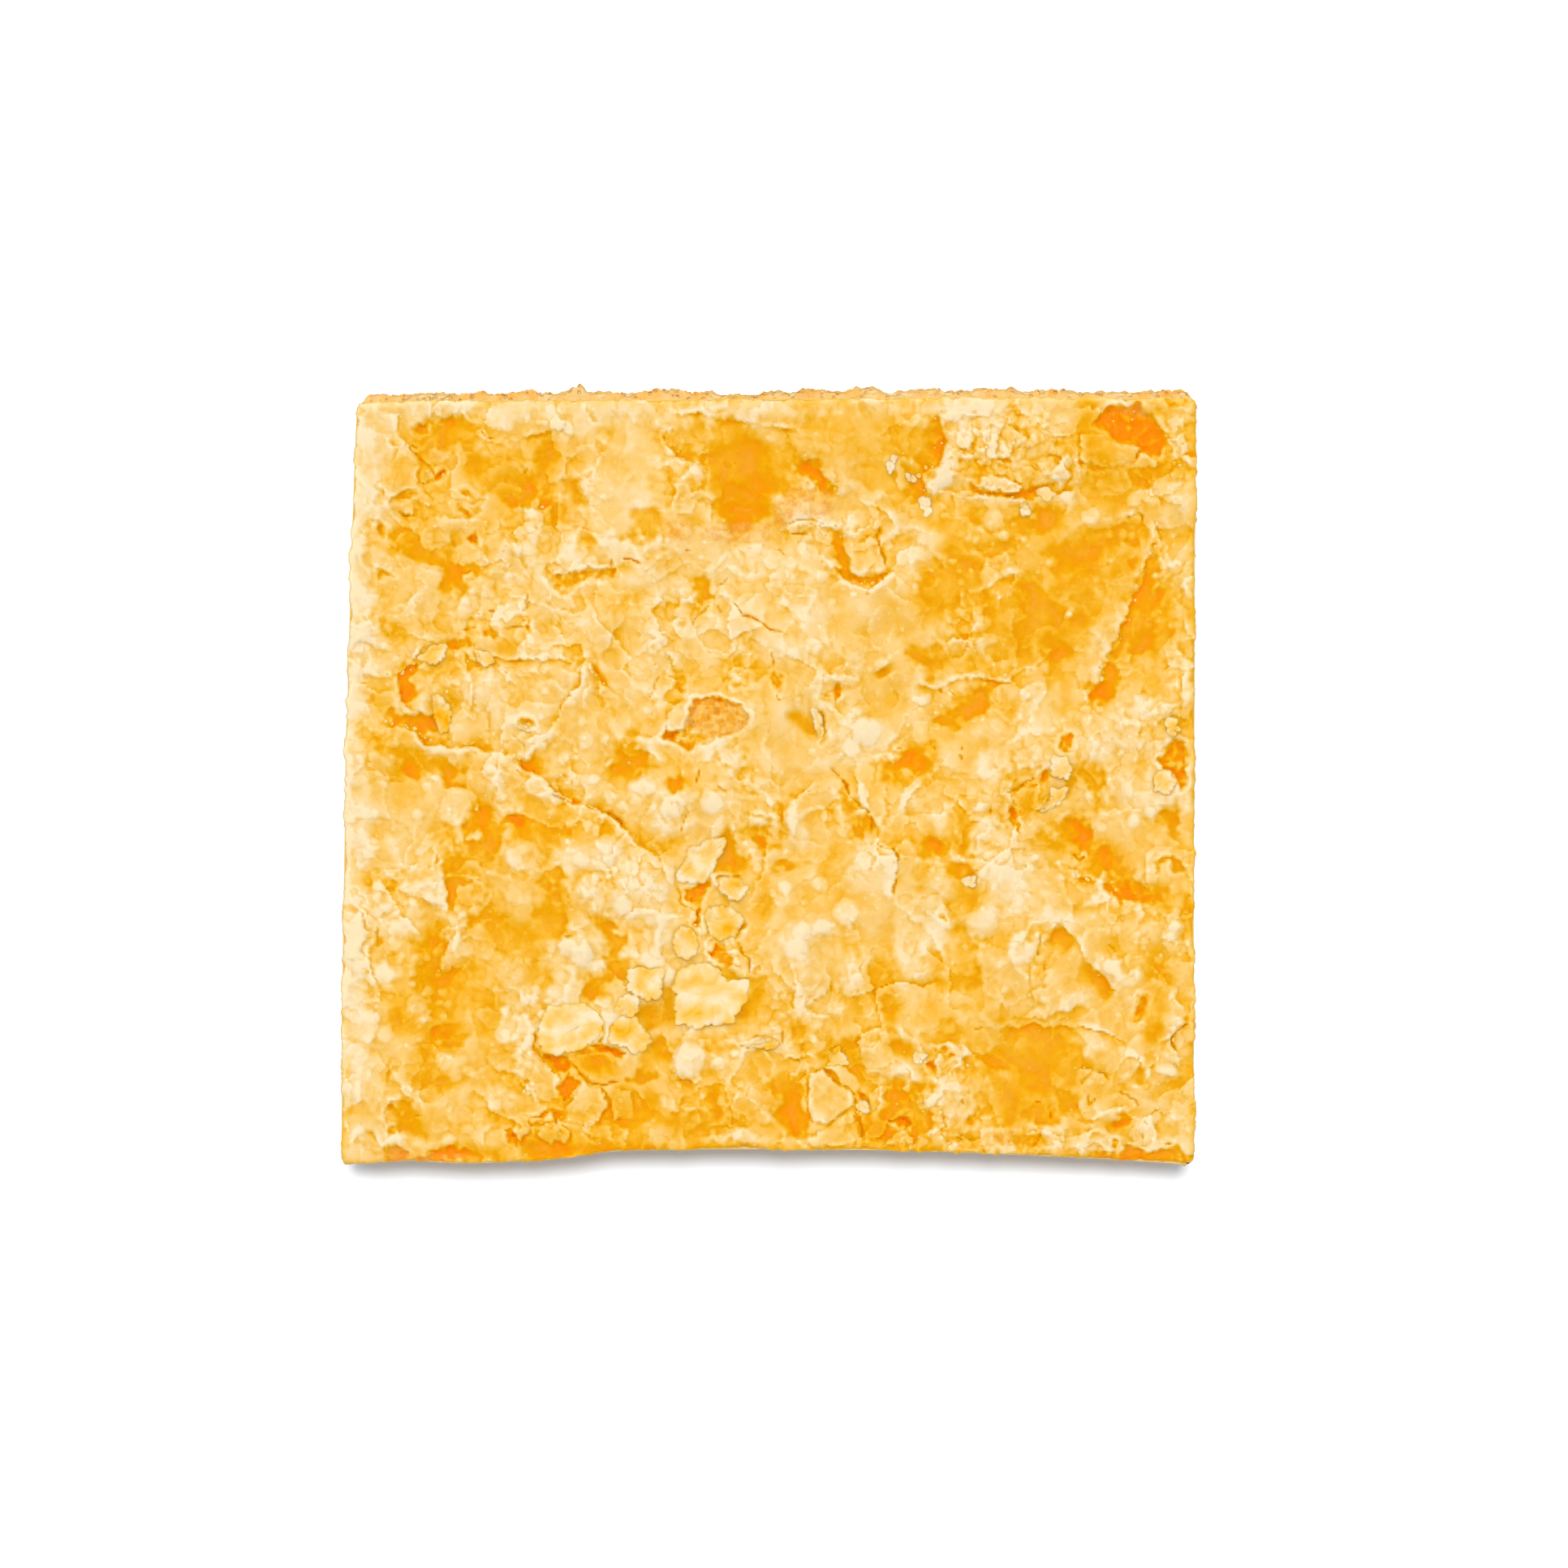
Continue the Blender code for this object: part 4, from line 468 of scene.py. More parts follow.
# Fine cracks: half width, points along them
CRACKS = (
    (0.13, (-3.4, 16.8), (-2.5, 15.6), (-1, 15.1), (0, 14.3), (1.4, 14.1)),
    (0.13, (-14.2, 21), (-13.6, 21.1), (-12.5, 20.5)), (0.1, (-15.4, 21.2), (-15.2, 20)),
    (0.1, (-34.9, 32), (-33.8, 30.8), (-32.5, 29.3)),
    (0.09, (-33.6, 28.4), (-32.5, 28.7), (-32.2, 29.1)), (0.09, (-33.6, 28.4), (-33.4, 27.4)),
    (0.12, (-34.5, 32.1), (-34, 31.8)), (0.1, (-23.9, 29.2), (-23.6, 29.5), (-23.5, 30.1)),
    (0.09, (-35.9, 25.7), (-35.4, 25.1), (-34.9, 25.3)),
    (0.1, (-27.8, 33.3), (-27.3, 32.8), (-26.6, 32.9)), (0.09, (-29.8, 14.1), (-28.3, 14.5)),
    (0.09, (-25.7, 14.4), (-23.8, 14.5)), (0.1, (-23.5, 17.9), (-23.3, 16.5), (-23.9, 16)),
    (0.09, (-27.1, 16), (-26.6, 15.8)), (0.12, (-21.2, -1.7), (-20, -2.2), (-19.2, -2.6)),
    (0.12, (-15.8, -3.6), (-15, -4.1), (-14.3, -4.7)), (0.08, (-10.9, 9.8), (-11.2, 8.4), (-11.8, 7.4)),
    (0.08, (-5.9, 16.4), (-7.3, 15.2), (-7.7, 14.4)), (0.09, (-5, 16.6), (-4.6, 15.9)),
    (0.09, (-4.2, 19.2), (-4.7, 18.4)), (0.08, (0.2, 12), (0.5, 10.6)), (0.08, (0.7, 8), (1.1, 7.3)),
    (0.08, (1.6, 24.1), (2.2, 24.6), (2.6, 24.8)), (0.08, (2.2, 23.6), (3.8, 23.6)),
    (0.08, (2.5, 25), (4.3, 24.8), (5.5, 24.3)),
    (0.1, (10.8, 24.1), (10.4, 23.3), (11, 21.6), (11.3, 20)), (0.1, (5.9, 1), (6.9, -0.2)),
    (0.15, (7, -0.3), (7.5, -0.9), (7.7, -1.8)), (0.08, (7.7, -1.8), (8.8, -2.7), (9.9, -3.7)),
    (0.13, (9.9, -3.8), (10, -4.4)), (0.08, (10, -4.4), (9.9, -5.6)),
    (0.08, (10.4, -6.5), (11.2, -6.9), (12, -6.9), (12.6, -8), (12, -11.6)),
    (0.08, (-7.9, -3.5), (-8.7, -5.7)), (0.1, (-6.8, 0.5), (-7.1, -0.6)),
    (0.09, (-5, -0.8), (-4.1, -1.7)), (0.1, (-5.3, -9.9), (-4.5, -9.7), (-2.7, -9.7)),
    (0.1, (-3.1, -16), (-2.5, -17), (-2, -17.7), (-1.9, -18.8)), (0.08, (-5.1, -20.3), (-4.2, -20)),
    (0.08, (-6, -21.3), (-5.5, -21.3)),
    (0.12, (-18.4, -28.9), (-17.5, -29.6), (-16.2, -30), (-14.6, -29.5)),
    (0.1, (-16.4, -30.2), (-15.3, -31.6)), (0.1, (-18.6, -29.9), (-20, -31.6)),
    (0.1, (5.3, -28.1), (6.3, -29.5), (7.9, -30.4), (8.4, -31.4), (8.6, -33.4)),
    (0.1, (5.7, -33.9), (7.2, -32.7), (8.1, -31.9)), (0.1, (5.4, -27.9), (7.4, -28)),
    (0.12, (8.9, -33.1), (9, -34.6), (9.2, -35.7)), (0.1, (11.6, -33.5), (12.8, -33.1), (13.8, -33.8)),
    (0.1, (20, -24.5), (20.6, -24.4)), (0.08, (30, -24.2), (32.4, -24.9), (34.5, -25.9)),
    (0.12, (32.3, -24.9), (32.7, -24.9)),
    (0.09, (30, -28.2), (31.3, -28.4), (32.6, -28.9), (33, -29.6)), (0.07, (30.1, -30), (31.4, -28.5)),
    (0.08, (30.8, -30.6), (31, -31.8), (31.8, -31.2)),
    (0.1, (34.7, 25.1), (35.4, 25.4), (36.1, 25.4), (36.2, 24.9)),
    (0.12, (39.6, -26.7), (39, -25.8), (39.3, -24.9), (40.2, -24.1)),
    (0.1, (39.2, -27.8), (39.8, -28.5)), (0.13, (29.4, -7.5), (30.1, -8.1), (30.6, -7.7)),
    (0.11, (22.8, -1.8), (24.2, -1.1), (25.8, -0.2)), (0.09, (26.2, -15.2), (26, -17.6)),
    (0.09, (12.3, 2.6), (12.9, 2.9)), (0.08, (16, 3), (16.2, 2.6)), (0.08, (16.4, 8.7), (16.7, 8.1)),
    (0.08, (17.6, 8.3), (18, 7.8)), (0.09, (31.4, 4.3), (32, 4)), (0.09, (18.4, 2.1), (18.8, 1.6)),
    (0.1, (18.6, 2.9), (18.8, 2.5)), (0.09, (33, -16.3), (33.5, -17)),
    (0.08, (34, -30.6), (35.6, -31.5), (35.8, -32)), (0.08, (16.6, -32.5), (17.2, -34)),
    (0.1, (18, -34.9), (18.7, -35.2), (20, -35.2)), (0.1, (25.5, -36), (26, -35.4), (26.3, -34.6)),
    (0.09, (26.2, -31.6), (25.7, -31.5)), (0.1, (27.2, -31.8), (27.3, -33.2)),
    (0.09, (18.6, -31.2), (18.8, -31.7)), (0.08, (36.2, -34.6), (36.4, -35.3)),
    (0.08, (36.4, -33.4), (36.9, -33.9)), (0.09, (-20, -15.6), (-19, -15.4)),
    (0.08, (-34.3, -32.9), (-33.9, -33)), (0.1, (4.1, -21.7), (4.8, -21.8)),
    (0.09, (1.2, -24.6), (1.4, -26)), (0.08, (-3, -26.1), (-2, -26.3)),
    (0.08, (-8.2, 22), (-7.6, 21.9)), (0.08, (0.8, 22), (1.6, 21.2)),
    (0.09, (-24.5, 0.7), (-24.3, 0.4)), (0.09, (21.5, -3.2), (21.3, -3.9)),
    (0.1, (20.6, -1.6), (21, -1.7)), (0.1, (24.8, -8.7), (25, -9)),
)

# Pale blisters of trapped steam: x, y, radius
BLISTERS = (
    (21.8, 25, 1.05), (21.2, 19.4, 0.95), (23.3, 20, 0.9), (27.4, 20.7, 0.65), (20.8, 14.9, 0.8),
    (22.8, 23.3, 0.6), (29, 16, 0.45), (24.7, 7.7, 0.6), (15.1, 7.5, 0.6), (18.5, 5.4, 0.55),
    (28.8, 15.7, 0.4), (26.7, 10.6, 0.5), (-33, -20.8, 0.55), (-31.6, -21, 0.42), (-32.1, -19.4, 0.35),
    (-34, -22, 1.0), (-33.3, -23.3, 0.5), (-31.6, -27.6, 0.9), (-29.1, -28.6, 0.55),
    (-37.2, -19.2, 1.0), (-37.4, -24.9, 0.9), (-23, -21.6, 0.7), (-31.2, -35.3, 0.7),
    (-22.6, -20.6, 0.5), (-20, 1.9, 0.65), (-17.8, 3.6, 0.7), (-19.3, 0.2, 0.5), (-17, -0.4, 0.55),
    (-15.4, -2, 0.6), (-14.4, -2.8, 0.55), (-15.7, -6.4, 1.0), (-18.2, -8, 0.8), (-15.6, -8, 0.6),
    (-17.5, -10.7, 1.2), (-13.4, -8.8, 0.7), (-14.2, -12.4, 0.9), (-19.8, -16.6, 0.9),
    (-18.2, -17.4, 1.2), (-28.1, -5.9, 0.6), (-33.2, -0.9, 0.5), (-34.2, -3.6, 0.6), (-38.8, -7.4, 0.7),
    (0.6, -2.4, 0.75), (-1, -4.1, 0.9), (4.9, -10.5, 0.8), (7, -3.6, 0.9), (7.4, -5.2, 0.8),
    (1.6, -10.9, 0.7), (5.5, -3.9, 0.6), (-5.8, -2.6, 1.1), (-9.4, -3, 1.2), (-12.2, -0.8, 1.1),
    (-1.6, -7.8, 0.9), (-1.2, -8.9, 0.5), (2.8, 7.4, 0.25), (35.3, 26.8, 0.8), (31, 25.2, 0.9),
    (34.4, 23.4, 0.5), (36.8, 26.8, 0.4), (39.4, 20.4, 0.7), (33, 23.4, 0.4), (34.6, 5.3, 0.45),
    (36.2, 7.2, 0.9), (32.2, -4.9, 0.5), (31.2, -1.8, 0.4), (35.2, -4.4, 0.7), (37, -3.4, 0.6),
    (39.4, -14.8, 0.9), (35.3, -19.3, 0.6), (33.4, -18.4, 0.9), (36.4, -15.9, 0.4), (34.9, -29, 0.35),
    (38.7, -28.5, 0.7), (7.9, -20.5, 0.8), (3.2, -15, 0.9), (2.8, -16.8, 1.1), (5.2, -14.6, 0.8),
    (8.6, -21, 0.4), (22.7, -20.7, 0.4), (20.6, -14.4, 1.6), (7.4, -13.2, 1.3), (-7.8, -27.5, 1.7),
    (-5, -28, 0.7), (-4.8, -31.4, 0.5), (-0.6, -33, 0.7), (-0.3, -29.4, 0.3), (5, 19.4, 0.6),
    (1.2, 16.8, 0.7), (4.2, 12.6, 0.8), (9.4, 4.4, 1.4), (8, 2.8, 0.9), (10.8, 10.9, 0.7),
    (-30.4, -3.2, 1.7), (-24, -7.6, 1.6), (-36.6, -33.6, 0.7), (-20.7, -33.8, 0.5), (13, 30.8, 0.3),
    (39, -33.4, 0.5),
)

# Places where the skin has crumbled to rubble: x, y, half length, half width, turn, amount
RUBBLE = (
    (23.5, 31.5, 6.5, 4, 0, 1.0), (-32.5, 29.8, 2.2, 2.6, 40, 0.7), (5, 23.8, 4, 1.4, 0, 0.9),
    (-13, 6.5, 2.6, 4.5, 0, 0.6), (-19, -34.4, 7, 2.2, 0, 0.9), (12.5, -33, 5.5, 3, 0, 0.9),
    (39.4, 30, 1.6, 5, 0, 0.8), (-9, 16, 3, 2.4, 0, 0.5), (15, -30, 2, 4, 0, 0.7),
    (24, -1, 4, 3.5, 0, 0.6), (37, -31, 4, 5, 0, 0.6), (30, -35, 9, 1.6, 0, 0.7),
    (37, -14, 4, 5, 0, 0.5), (-27, 8, 7, 3.6, 0, 0.5), (-38, -32, 3, 4.5, 0, 0.5),
    (35, 0, 5, 4, 0, 0.4), (-25, 22, 5, 3, 0, 0.5), (18, -35.5, 6, 1.3, 0, 0.8),
    (-30, 15, 6, 2, 0, 0.4), (7, 8, 3, 4, 0, 0.4), (34, 34.5, 5, 2.4, 0, 0.6),
)

# Bare crumb under the skin: x, y, half length, half width, turn, amount
CRUMB = (
    (4, 26.6, 2.8, 1.5, -10, 0.8), (-2.8, 23.6, 4.4, 1.1, 4, 0.8), (-8.6, 23.8, 1.8, 1.3, 0, 0.8),
    (1.4, 25.4, 1, 1.2, 0, 0.9), (-20, 29.5, 0.8, 2.2, 0, 0.5), (-18.4, 24.6, 1.6, 1, -30, 0.6),
    (-31.5, 30.6, 2.4, 1, -45, 0.6), (-32.5, 24.8, 3.4, 1.8, 0, 0.4), (-34, 14.4, 1.8, 1.6, 0, 0.4),
    (-5, 5.6, 3.2, 1.8, 0, 1.0), (17.4, 15.4, 2, 2.6, 0, 0.3), (35, -8.8, 2, 0.6, -40, 0.6),
    (6.4, -14, 2.4, 1.2, 0, 0.4), (5, -19.8, 1.6, 1.2, 0, 0.4), (22, -35.2, 2, 0.7, 0, 0.7),
    (-29.6, -2.8, 2, 1.6, 0, 0.3), (27, -21.4, 1.4, 1, 0, 0.35), (34, -36.4, 7, 0.6, 0, 0.5),
    (-33, -36.9, 6, 0.6, -4, 0.7), (-22, -36.4, 7, 0.5, 0, 0.3), (25, -4.4, 1, 0.8, 0, 0.5),
    (35.4, 35.6, 2, 0.6, 0, 0.6), (21, -14, 1.6, 1.4, 0, 0.3), (18.4, 3.6, 2, 1, 0, 0.35),
    (28.6, -21, 0.8, 0.6, 0, 0.3),
)

# Crowds of small steam blisters: x, y, spread, count
BLISTER_CROWDS = (
    (23, 20, 2.6, 26), (-18, 2, 2.4, 22), (-33, -20.5, 1.6, 14), (24, 24.6, 1.8, 12),
    (-16, -10, 3.0, 26), (36, 5, 3.0, 22), (35, -16, 3.0, 24), (24, -10, 3.2, 26), (24.5, 7.5, 2.0, 12),
    (-38.5, -6, 1.6, 14), (-34, -24, 2.0, 12), (3.5, -16, 2.2, 12), (-27, 6, 3.0, 14),
    (37, 25, 1.8, 12), (17, 6, 2.4, 12), (-4, -27, 2.6, 10), (33, -31, 3.0, 12), (8, 3, 2.0, 10),
    (-38, 12, 1.6, 12), (14, 14, 3.0, 10), (-24, -25, 2.0, 10), (26, -19, 3.0, 12),
)
LONE_BLISTERS = 260

# Where crumbs of the base swell past its cut back side: x, half length, how far out in mm
BACK_CRUMBS = (
    (-38.4, 1.2, 0.1), (-18.8, 1.0, 0.7), (-23.5, 1.6, 0.25), (-28, 1.4, 0.1), (-10.5, 2.4, 0.3),
    (-33.6, 1.2, 0.1), (4.5, 2.0, 0.2), (9.5, 1.8, 0.3), (16, 1.5, 0.25), (22, 2.0, 0.3),
    (27.5, 1.6, 0.2), (-3, 2.2, -0.5), (34.5, 5, -0.1),
)

# Broken edges that run all over the skin: noise seed, size in mm, strength
SKIN_TEARS = ((41, 9.0, 1.0), (43, 6.0, 1.0), (45, 4.0, 0.9), (47, 3.0, 0.8), (49, 2.2, 0.6))

# How far noise nudges the edges and the zones of the skin in plan, in mm
JAG, DRIFT = 0.26, 0.8

# Broad swells of the skin: noise seed, size, height; and plates of broken skin: seed, size, strength
SWELLS = ((1, 14, 0.85), (2, 4.2, 0.45))
SHARD_PLATES = ((61, 3.4, 0.8), (63, 1.7, 0.6))

# Height in mm of each kind of feature at full strength
AMBER_SINK = 0.8
TEAR_RISE = 0.16
VALLEY_SINK = 0.4
LIP_RISE, LIP_HOLLOW = 0.65, 0.42
PLATE_RISE = 0.8
HOLE_SINK = 0.42
CRACK_SINK = 0.3
FLAKE_BED = 0.4

# Sizes of the parts of each piece, in mm unless they count something
RIM_ROWS = 4
SKIN_THICK = 0.7
RAGGED_RIM = 0.24
PLUG_INSET = 1.8
POCKET_FLOOR = 19.0
WALL_STATIONS = 1300

# Open pores of the cut walls: noise seed, count, size in mm, and the lowest place in the base
FILLING_PORES = ((6, 2600, 0.5), (7, 240, 1.1))
BASE_PORES = ((8, 1700, 0.6, 0.4), (9, 300, 1.3, 0.6))

# Sizes of the base's lid, the flakes and the crumbs, in mm unless they count something
BASE_LID_INSETS = (5.0, 3.2, 2.4, 1.9, 1.5, 1.2, 0.9, 0.6, 0.35, 0.15)
FLAKE_STATIONS = 110
FLAKE_INSETS = (0.96, 0.93, 0.88, 0.82, 0.74, 0.6)
FLAKE_THICK = 0.22
CRUMB_SHAPES = 4
CRUMB_SIZES, CRUMB_CHANCES = (0.14, 0.2, 0.3), (0.5, 0.35, 0.15)
CRUMBS_PER_PATCH = 9

# Screen colours of the skin by tone, and of the crumb and the crust
TONE_TOP = 1.3
SKIN_COLOURS = (
    (0.0, (251, 230, 190)), (0.16, (250, 221, 166)), (0.34, (250, 211, 134)), (0.52, (249, 200, 104)),
    (0.7, (248, 190, 68)), (0.86, (245, 178, 24)), (1.0, (244, 168, 0)), (1.15, (251, 163, 0)),
    (1.3, (258, 152, 0)),
)
CRUMB_DARK, CRUMB_PALE = (243, 168, 56), (249, 204, 116)
CRACK_COLOUR = (232, 142, 30)
BASE_COLOURS = (
    (0.0, (255, 228, 166)), (0.45, (255, 204, 116)), (0.75, (250, 180, 86)), (1.0, (243, 158, 66)),
)
CRUST_COLOUR = (206, 128, 56)
WALL_LESS_GREEN = 9
EDGE_BAND = 0.8
# Painted shade along the skin's edges: the tone deepens in a band on the front and right edges, away from
# the lamps; on the left edge the band is paler.
FRONT_EDGE_SHADE, RIGHT_EDGE_SHADE, LEFT_EDGE_TINT = 0.22, 0.22, -0.2
RIM_TONE = 0.92
LIGHT_REACH = 1.6
SURFACE_GAIN = 0.675
SHEEN_LIFT = 0.018

# Light and camera: lamp name, strength, softness, lean from straight down and heading in degrees
AMBIENT = 0.6
LAMPS = (("overhead_key", 0.92, 5.5, 4.8, 177), ("side_key", 0.22, 36, 45, 212))
SENSOR = 36.0
CAMERA_DISTANCE = 1450.0
FRAME_WIDTH = 152.05
CAMERA_AIM = (1.42, -0.75)


def gradient_noise(seed, x, y, cells=64):
    """Smooth noise from about -1 to 1 at points x, y in cells."""
    angle = np.random.default_rng(seed).uniform(0, 2 * math.pi, (cells, cells))
    column, row = np.floor(x).astype(int), np.floor(y).astype(int)
    across, along = x - column, y - row

    def corner(i, j):
        turn = angle[(column + i) % cells, (row + j) % cells]
        return np.cos(turn) * (across - i) + np.sin(turn) * (along - j)

    ease_x, ease_y = (t * t * t * (t * (6 * t - 15) + 10) for t in (across, along))
    near = corner(0, 0) * (1 - ease_x) + corner(1, 0) * ease_x
    far = corner(0, 1) * (1 - ease_x) + corner(1, 1) * ease_x
    return 1.5 * (near * (1 - ease_y) + far * ease_y)


def layered_noise(seed, x, y, size, layers, keep=0.5):
    """Noise with finer and finer layers on it, the coarsest one size mm wide."""
    total = 0
    for layer in range(layers):
        scale = 2**layer / size
        total = total + keep**layer * gradient_noise(seed + layer, x * scale + 7.3 * layer, y * scale)
    return total


def ease(t):
    """0 to 1 with a flat start and end."""
    t = np.clip(t, 0, 1)
    return t * t * (3 - 2 * t)


def patch_reach(x, y, place_x, place_y, half_length, half_width, turn):
    """Distance from the middle of a turned oval, 1 at its rim."""
    c, s = math.cos(math.radians(turn)), math.sin(math.radians(turn))
    right, up = x - place_x, y - place_y
    return np.hypot((right * c + up * s) / half_length, (up * c - right * s) / half_width)


def near_points(x, y, points, margin):
    """Numbers of the plan points within a margin of some points' box."""
    low, high = np.min(points, axis=0) - margin, np.max(points, axis=0) + margin
    return np.flatnonzero((x > low[0]) & (x < high[0]) & (y > low[1]) & (y < high[1]))


def line_side(x, y, points):
    """Signed distance from a line, its left positive, and the share of the way along it."""
    points = np.array(points)
    runs = np.diff(points, axis=0)
    lengths = np.hypot(runs[:, 0], runs[:, 1])
    nearest, side, way = np.full(x.shape, np.inf), np.zeros(x.shape), np.zeros(x.shape)
    done = 0.0
    for (start_x, start_y), (run_x, run_y), length in zip(points, runs, lengths):
        right, up = x - start_x, y - start_y
        share = np.clip((right * run_x + up * run_y) / length**2, 0, 1)
        apart = np.hypot(right - share * run_x, up - share * run_y)
        closer = apart < nearest
        turn = np.where(up * run_x - right * run_y >= 0, 1, -1)
        nearest = np.where(closer, apart, nearest)
        side = np.where(closer, turn, side)
        way = np.where(closer, done + share * length, way)
        done += length
    return nearest * side, way / done


def outline_depth(x, y, outline):
    """Distance inside a closed outline, negative outside it, in mm."""
    nearest = np.full(x.shape, np.inf)
    inside = np.zeros(x.shape, bool)
    for (ax, ay), (bx, by) in zip(outline, outline[1:] + outline[:1]):
        run_x, run_y = bx - ax, by - ay
        share = np.clip(((x - ax) * run_x + (y - ay) * run_y) / (run_x**2 + run_y**2), 0, 1)
        nearest = np.minimum(nearest, np.hypot(x - ax - share * run_x, y - ay - share * run_y))
        if ay != by:
            crossed = ((ay > y) != (by > y)) & (x < run_x * (y - ay) / run_y + ax)
            inside ^= crossed
    return np.where(inside, nearest, -nearest)


def shards(seed, x, y, size, cells=64):
    """Cells of broken skin: distance from a cell's edge, its own tilt, and its own number."""
    rng = np.random.default_rng(seed)
    spots = rng.uniform(0.1, 0.9, (cells, cells, 2))
    chances = rng.uniform(0, 1, (cells, cells))
    tilts = rng.uniform(0, 2 * math.pi, (cells, cells))
    column, row = np.floor(x / size).astype(int), np.floor(y / size).astype(int)
    nearest, second = np.full(x.shape, np.inf), np.full(x.shape, np.inf)
    tilt, chance = np.zeros(x.shape), np.zeros(x.shape)
    for i in (-1, 0, 1):
        for j in (-1, 0, 1):
            key = ((column + i) % cells, (row + j) % cells)
            right = x - (column + i + spots[key][..., 0]) * size
            up = y - (row + j + spots[key][..., 1]) * size
            apart = np.hypot(right, up)
            closer = apart < nearest
            second = np.where(closer, nearest, np.minimum(second, apart))
            slope = right * np.cos(tilts[key]) + up * np.sin(tilts[key])
            tilt = np.where(closer, slope, tilt)
            chance = np.where(closer, chances[key], chance)
            nearest = np.where(closer, apart, nearest)
    return (second - nearest) / 2, tilt, chance


def plan_point(across, along, set_back):
    """Plan place of a share across (0 left, 1 right) and along (0 front, 1 back) the square."""
    back, right, front, left = set_back
    bow_across, bow_along = 4 * across * (1 - across), 4 * along * (1 - along)
    front_edge = np.outer(1 - across, FRONT_LEFT) + np.outer(across, FRONT_RIGHT)
    back_edge = np.outer(1 - across, BACK_LEFT) + np.outer(across, BACK_RIGHT)
    place = front_edge * (1 - along)[:, None] + back_edge * along[:, None]
    place[:, 0] += (RIGHT_BOW * bow_along - right) * across
    place[:, 0] -= (LEFT_BOW * bow_along - left) * (1 - across)
    place[:, 1] += (BACK_BOW * bow_across - back) * along
    swell = FRONT_SWELL * ease(1.3 - np.abs(place[:, 0] - SWELL_MIDDLE) / SWELL_REACH)
    place[:, 1] -= (FRONT_BOW * bow_across + swell - front) * (1 - along)
    return place


def rounded_shares(shares):
    """Pulls the shares of points near a corner in, so that the plan's corners are round."""
    radius = np.array((CORNER_RADIUS / WIDTH, CORNER_RADIUS / DEPTH))
    outward = np.where(shares > 0.5, 1, -1)
    past = np.clip((np.abs(shares - 0.5) - (0.5 - radius)) / radius, 0, 1)
    pulled = past * np.sqrt(1 - past[:, ::-1] ** 2 / 2)
    return shares + outward * (pulled - past) * radius


def cut_outline(count, set_back):
    """Points clockwise along the cut outline from its back left corner, and their way out."""
    run = np.arange(count) / count * PERIMETER
    across = np.clip(run / WIDTH, 0, 1) - np.clip((run - WIDTH - DEPTH) / WIDTH, 0, 1)
    along = 1 - np.clip((run - WIDTH) / DEPTH, 0, 1) + np.clip((run - 2 * WIDTH - DEPTH) / DEPTH, 0, 1)
    shares = rounded_shares(np.stack((across, along), 1))
    plan = plan_point(shares[:, 0], shares[:, 1], set_back)
    ahead = np.roll(plan, -2, axis=0) - np.roll(plan, 2, axis=0)
    outward = np.stack((-ahead[:, 1], ahead[:, 0]), 1)
    return plan, outward / np.hypot(outward[:, 0], outward[:, 1])[:, None], run


class SkinPatch:
    """Plan points of the skin, the same points nudged by noise, and what the skin is like there."""

    def __init__(self, x, y):
        self.x, self.y = x, y
        self.jag_x = x + JAG * layered_noise(11, x, y, 1.7, 3, 0.75)
        self.jag_y = y + JAG * layered_noise(21, x, y, 1.7, 3, 0.75)
        self.soft_x = x + DRIFT * layered_noise(31, x, y, 4.5, 2, 0.4)
        self.soft_y = y + DRIFT * layered_noise(35, x, y, 4.5, 2, 0.4)
        self.tone, self.crumb, self.crack = (np.zeros(x.shape) for _ in range(3))
        self.broken = 0.12 + 0.55 * ease(0.5 + 0.9 * layered_noise(73, x, y, 9, 2))
        self.patchy = ease(0.35 + 1.4 * layered_noise(75, x, y, 2.8, 2))

    def near(self, points, margin):
        return near_points(self.x, self.y, points, margin)

    def depth_in(self, near, outline):
        return outline_depth(self.jag_x[near], self.jag_y[near], outline)


def lay_colour_zones(skin):
    """Cream, yellow and amber zones, the small tints on them, and where the skin is rubble or crumb."""
    zone_x = skin.soft_x + 0.9 * layered_noise(33, skin.x, skin.y, 2.4, 3, 0.6)
    zone_y = skin.soft_y + 0.9 * layered_noise(37, skin.x, skin.y, 2.4, 3, 0.6)
    for *oval, target in ZONES:
        near = skin.near([oval[:2]], 1.6 * max(oval[2:4]) + 2)
        weight = ease((1.5 - patch_reach(zone_x[near], zone_y[near], *oval)) / 1.0)
        skin.tone[near] += (0.06 + 0.88 * target - skin.tone[near]) * weight
    for *oval, change in TINTS:
        near = skin.near([oval[:2]], 1.8 * max(oval[2:]) + 2)
        reach = patch_reach(skin.soft_x[near], skin.soft_y[near], *oval, 0)
        skin.tone[near] += change * ease((1.7 - reach) / 1.3)
    for *oval, amount in RUBBLE:
        near = skin.near([oval[:2]], 1.5 * max(oval[2:4]) + 2)
        weight = ease((1.4 - patch_reach(skin.soft_x[near], skin.soft_y[near], *oval)) / 0.7)
        skin.broken[near] = np.maximum(skin.broken[near], amount * weight)
    for *oval, amount in CRUMB:
        near = skin.near([oval[:2]], 1.5 * max(oval[2:4]) + 1)
        weight = ease((1.3 - patch_reach(skin.jag_x[near], skin.jag_y[near], *oval)) / 0.5)
        skin.crumb[near] = np.maximum(skin.crumb[near], 0.7 * amount * weight)
    skin.broken *= 1 - 0.8 * ease((skin.tone - 0.66) / 0.2)


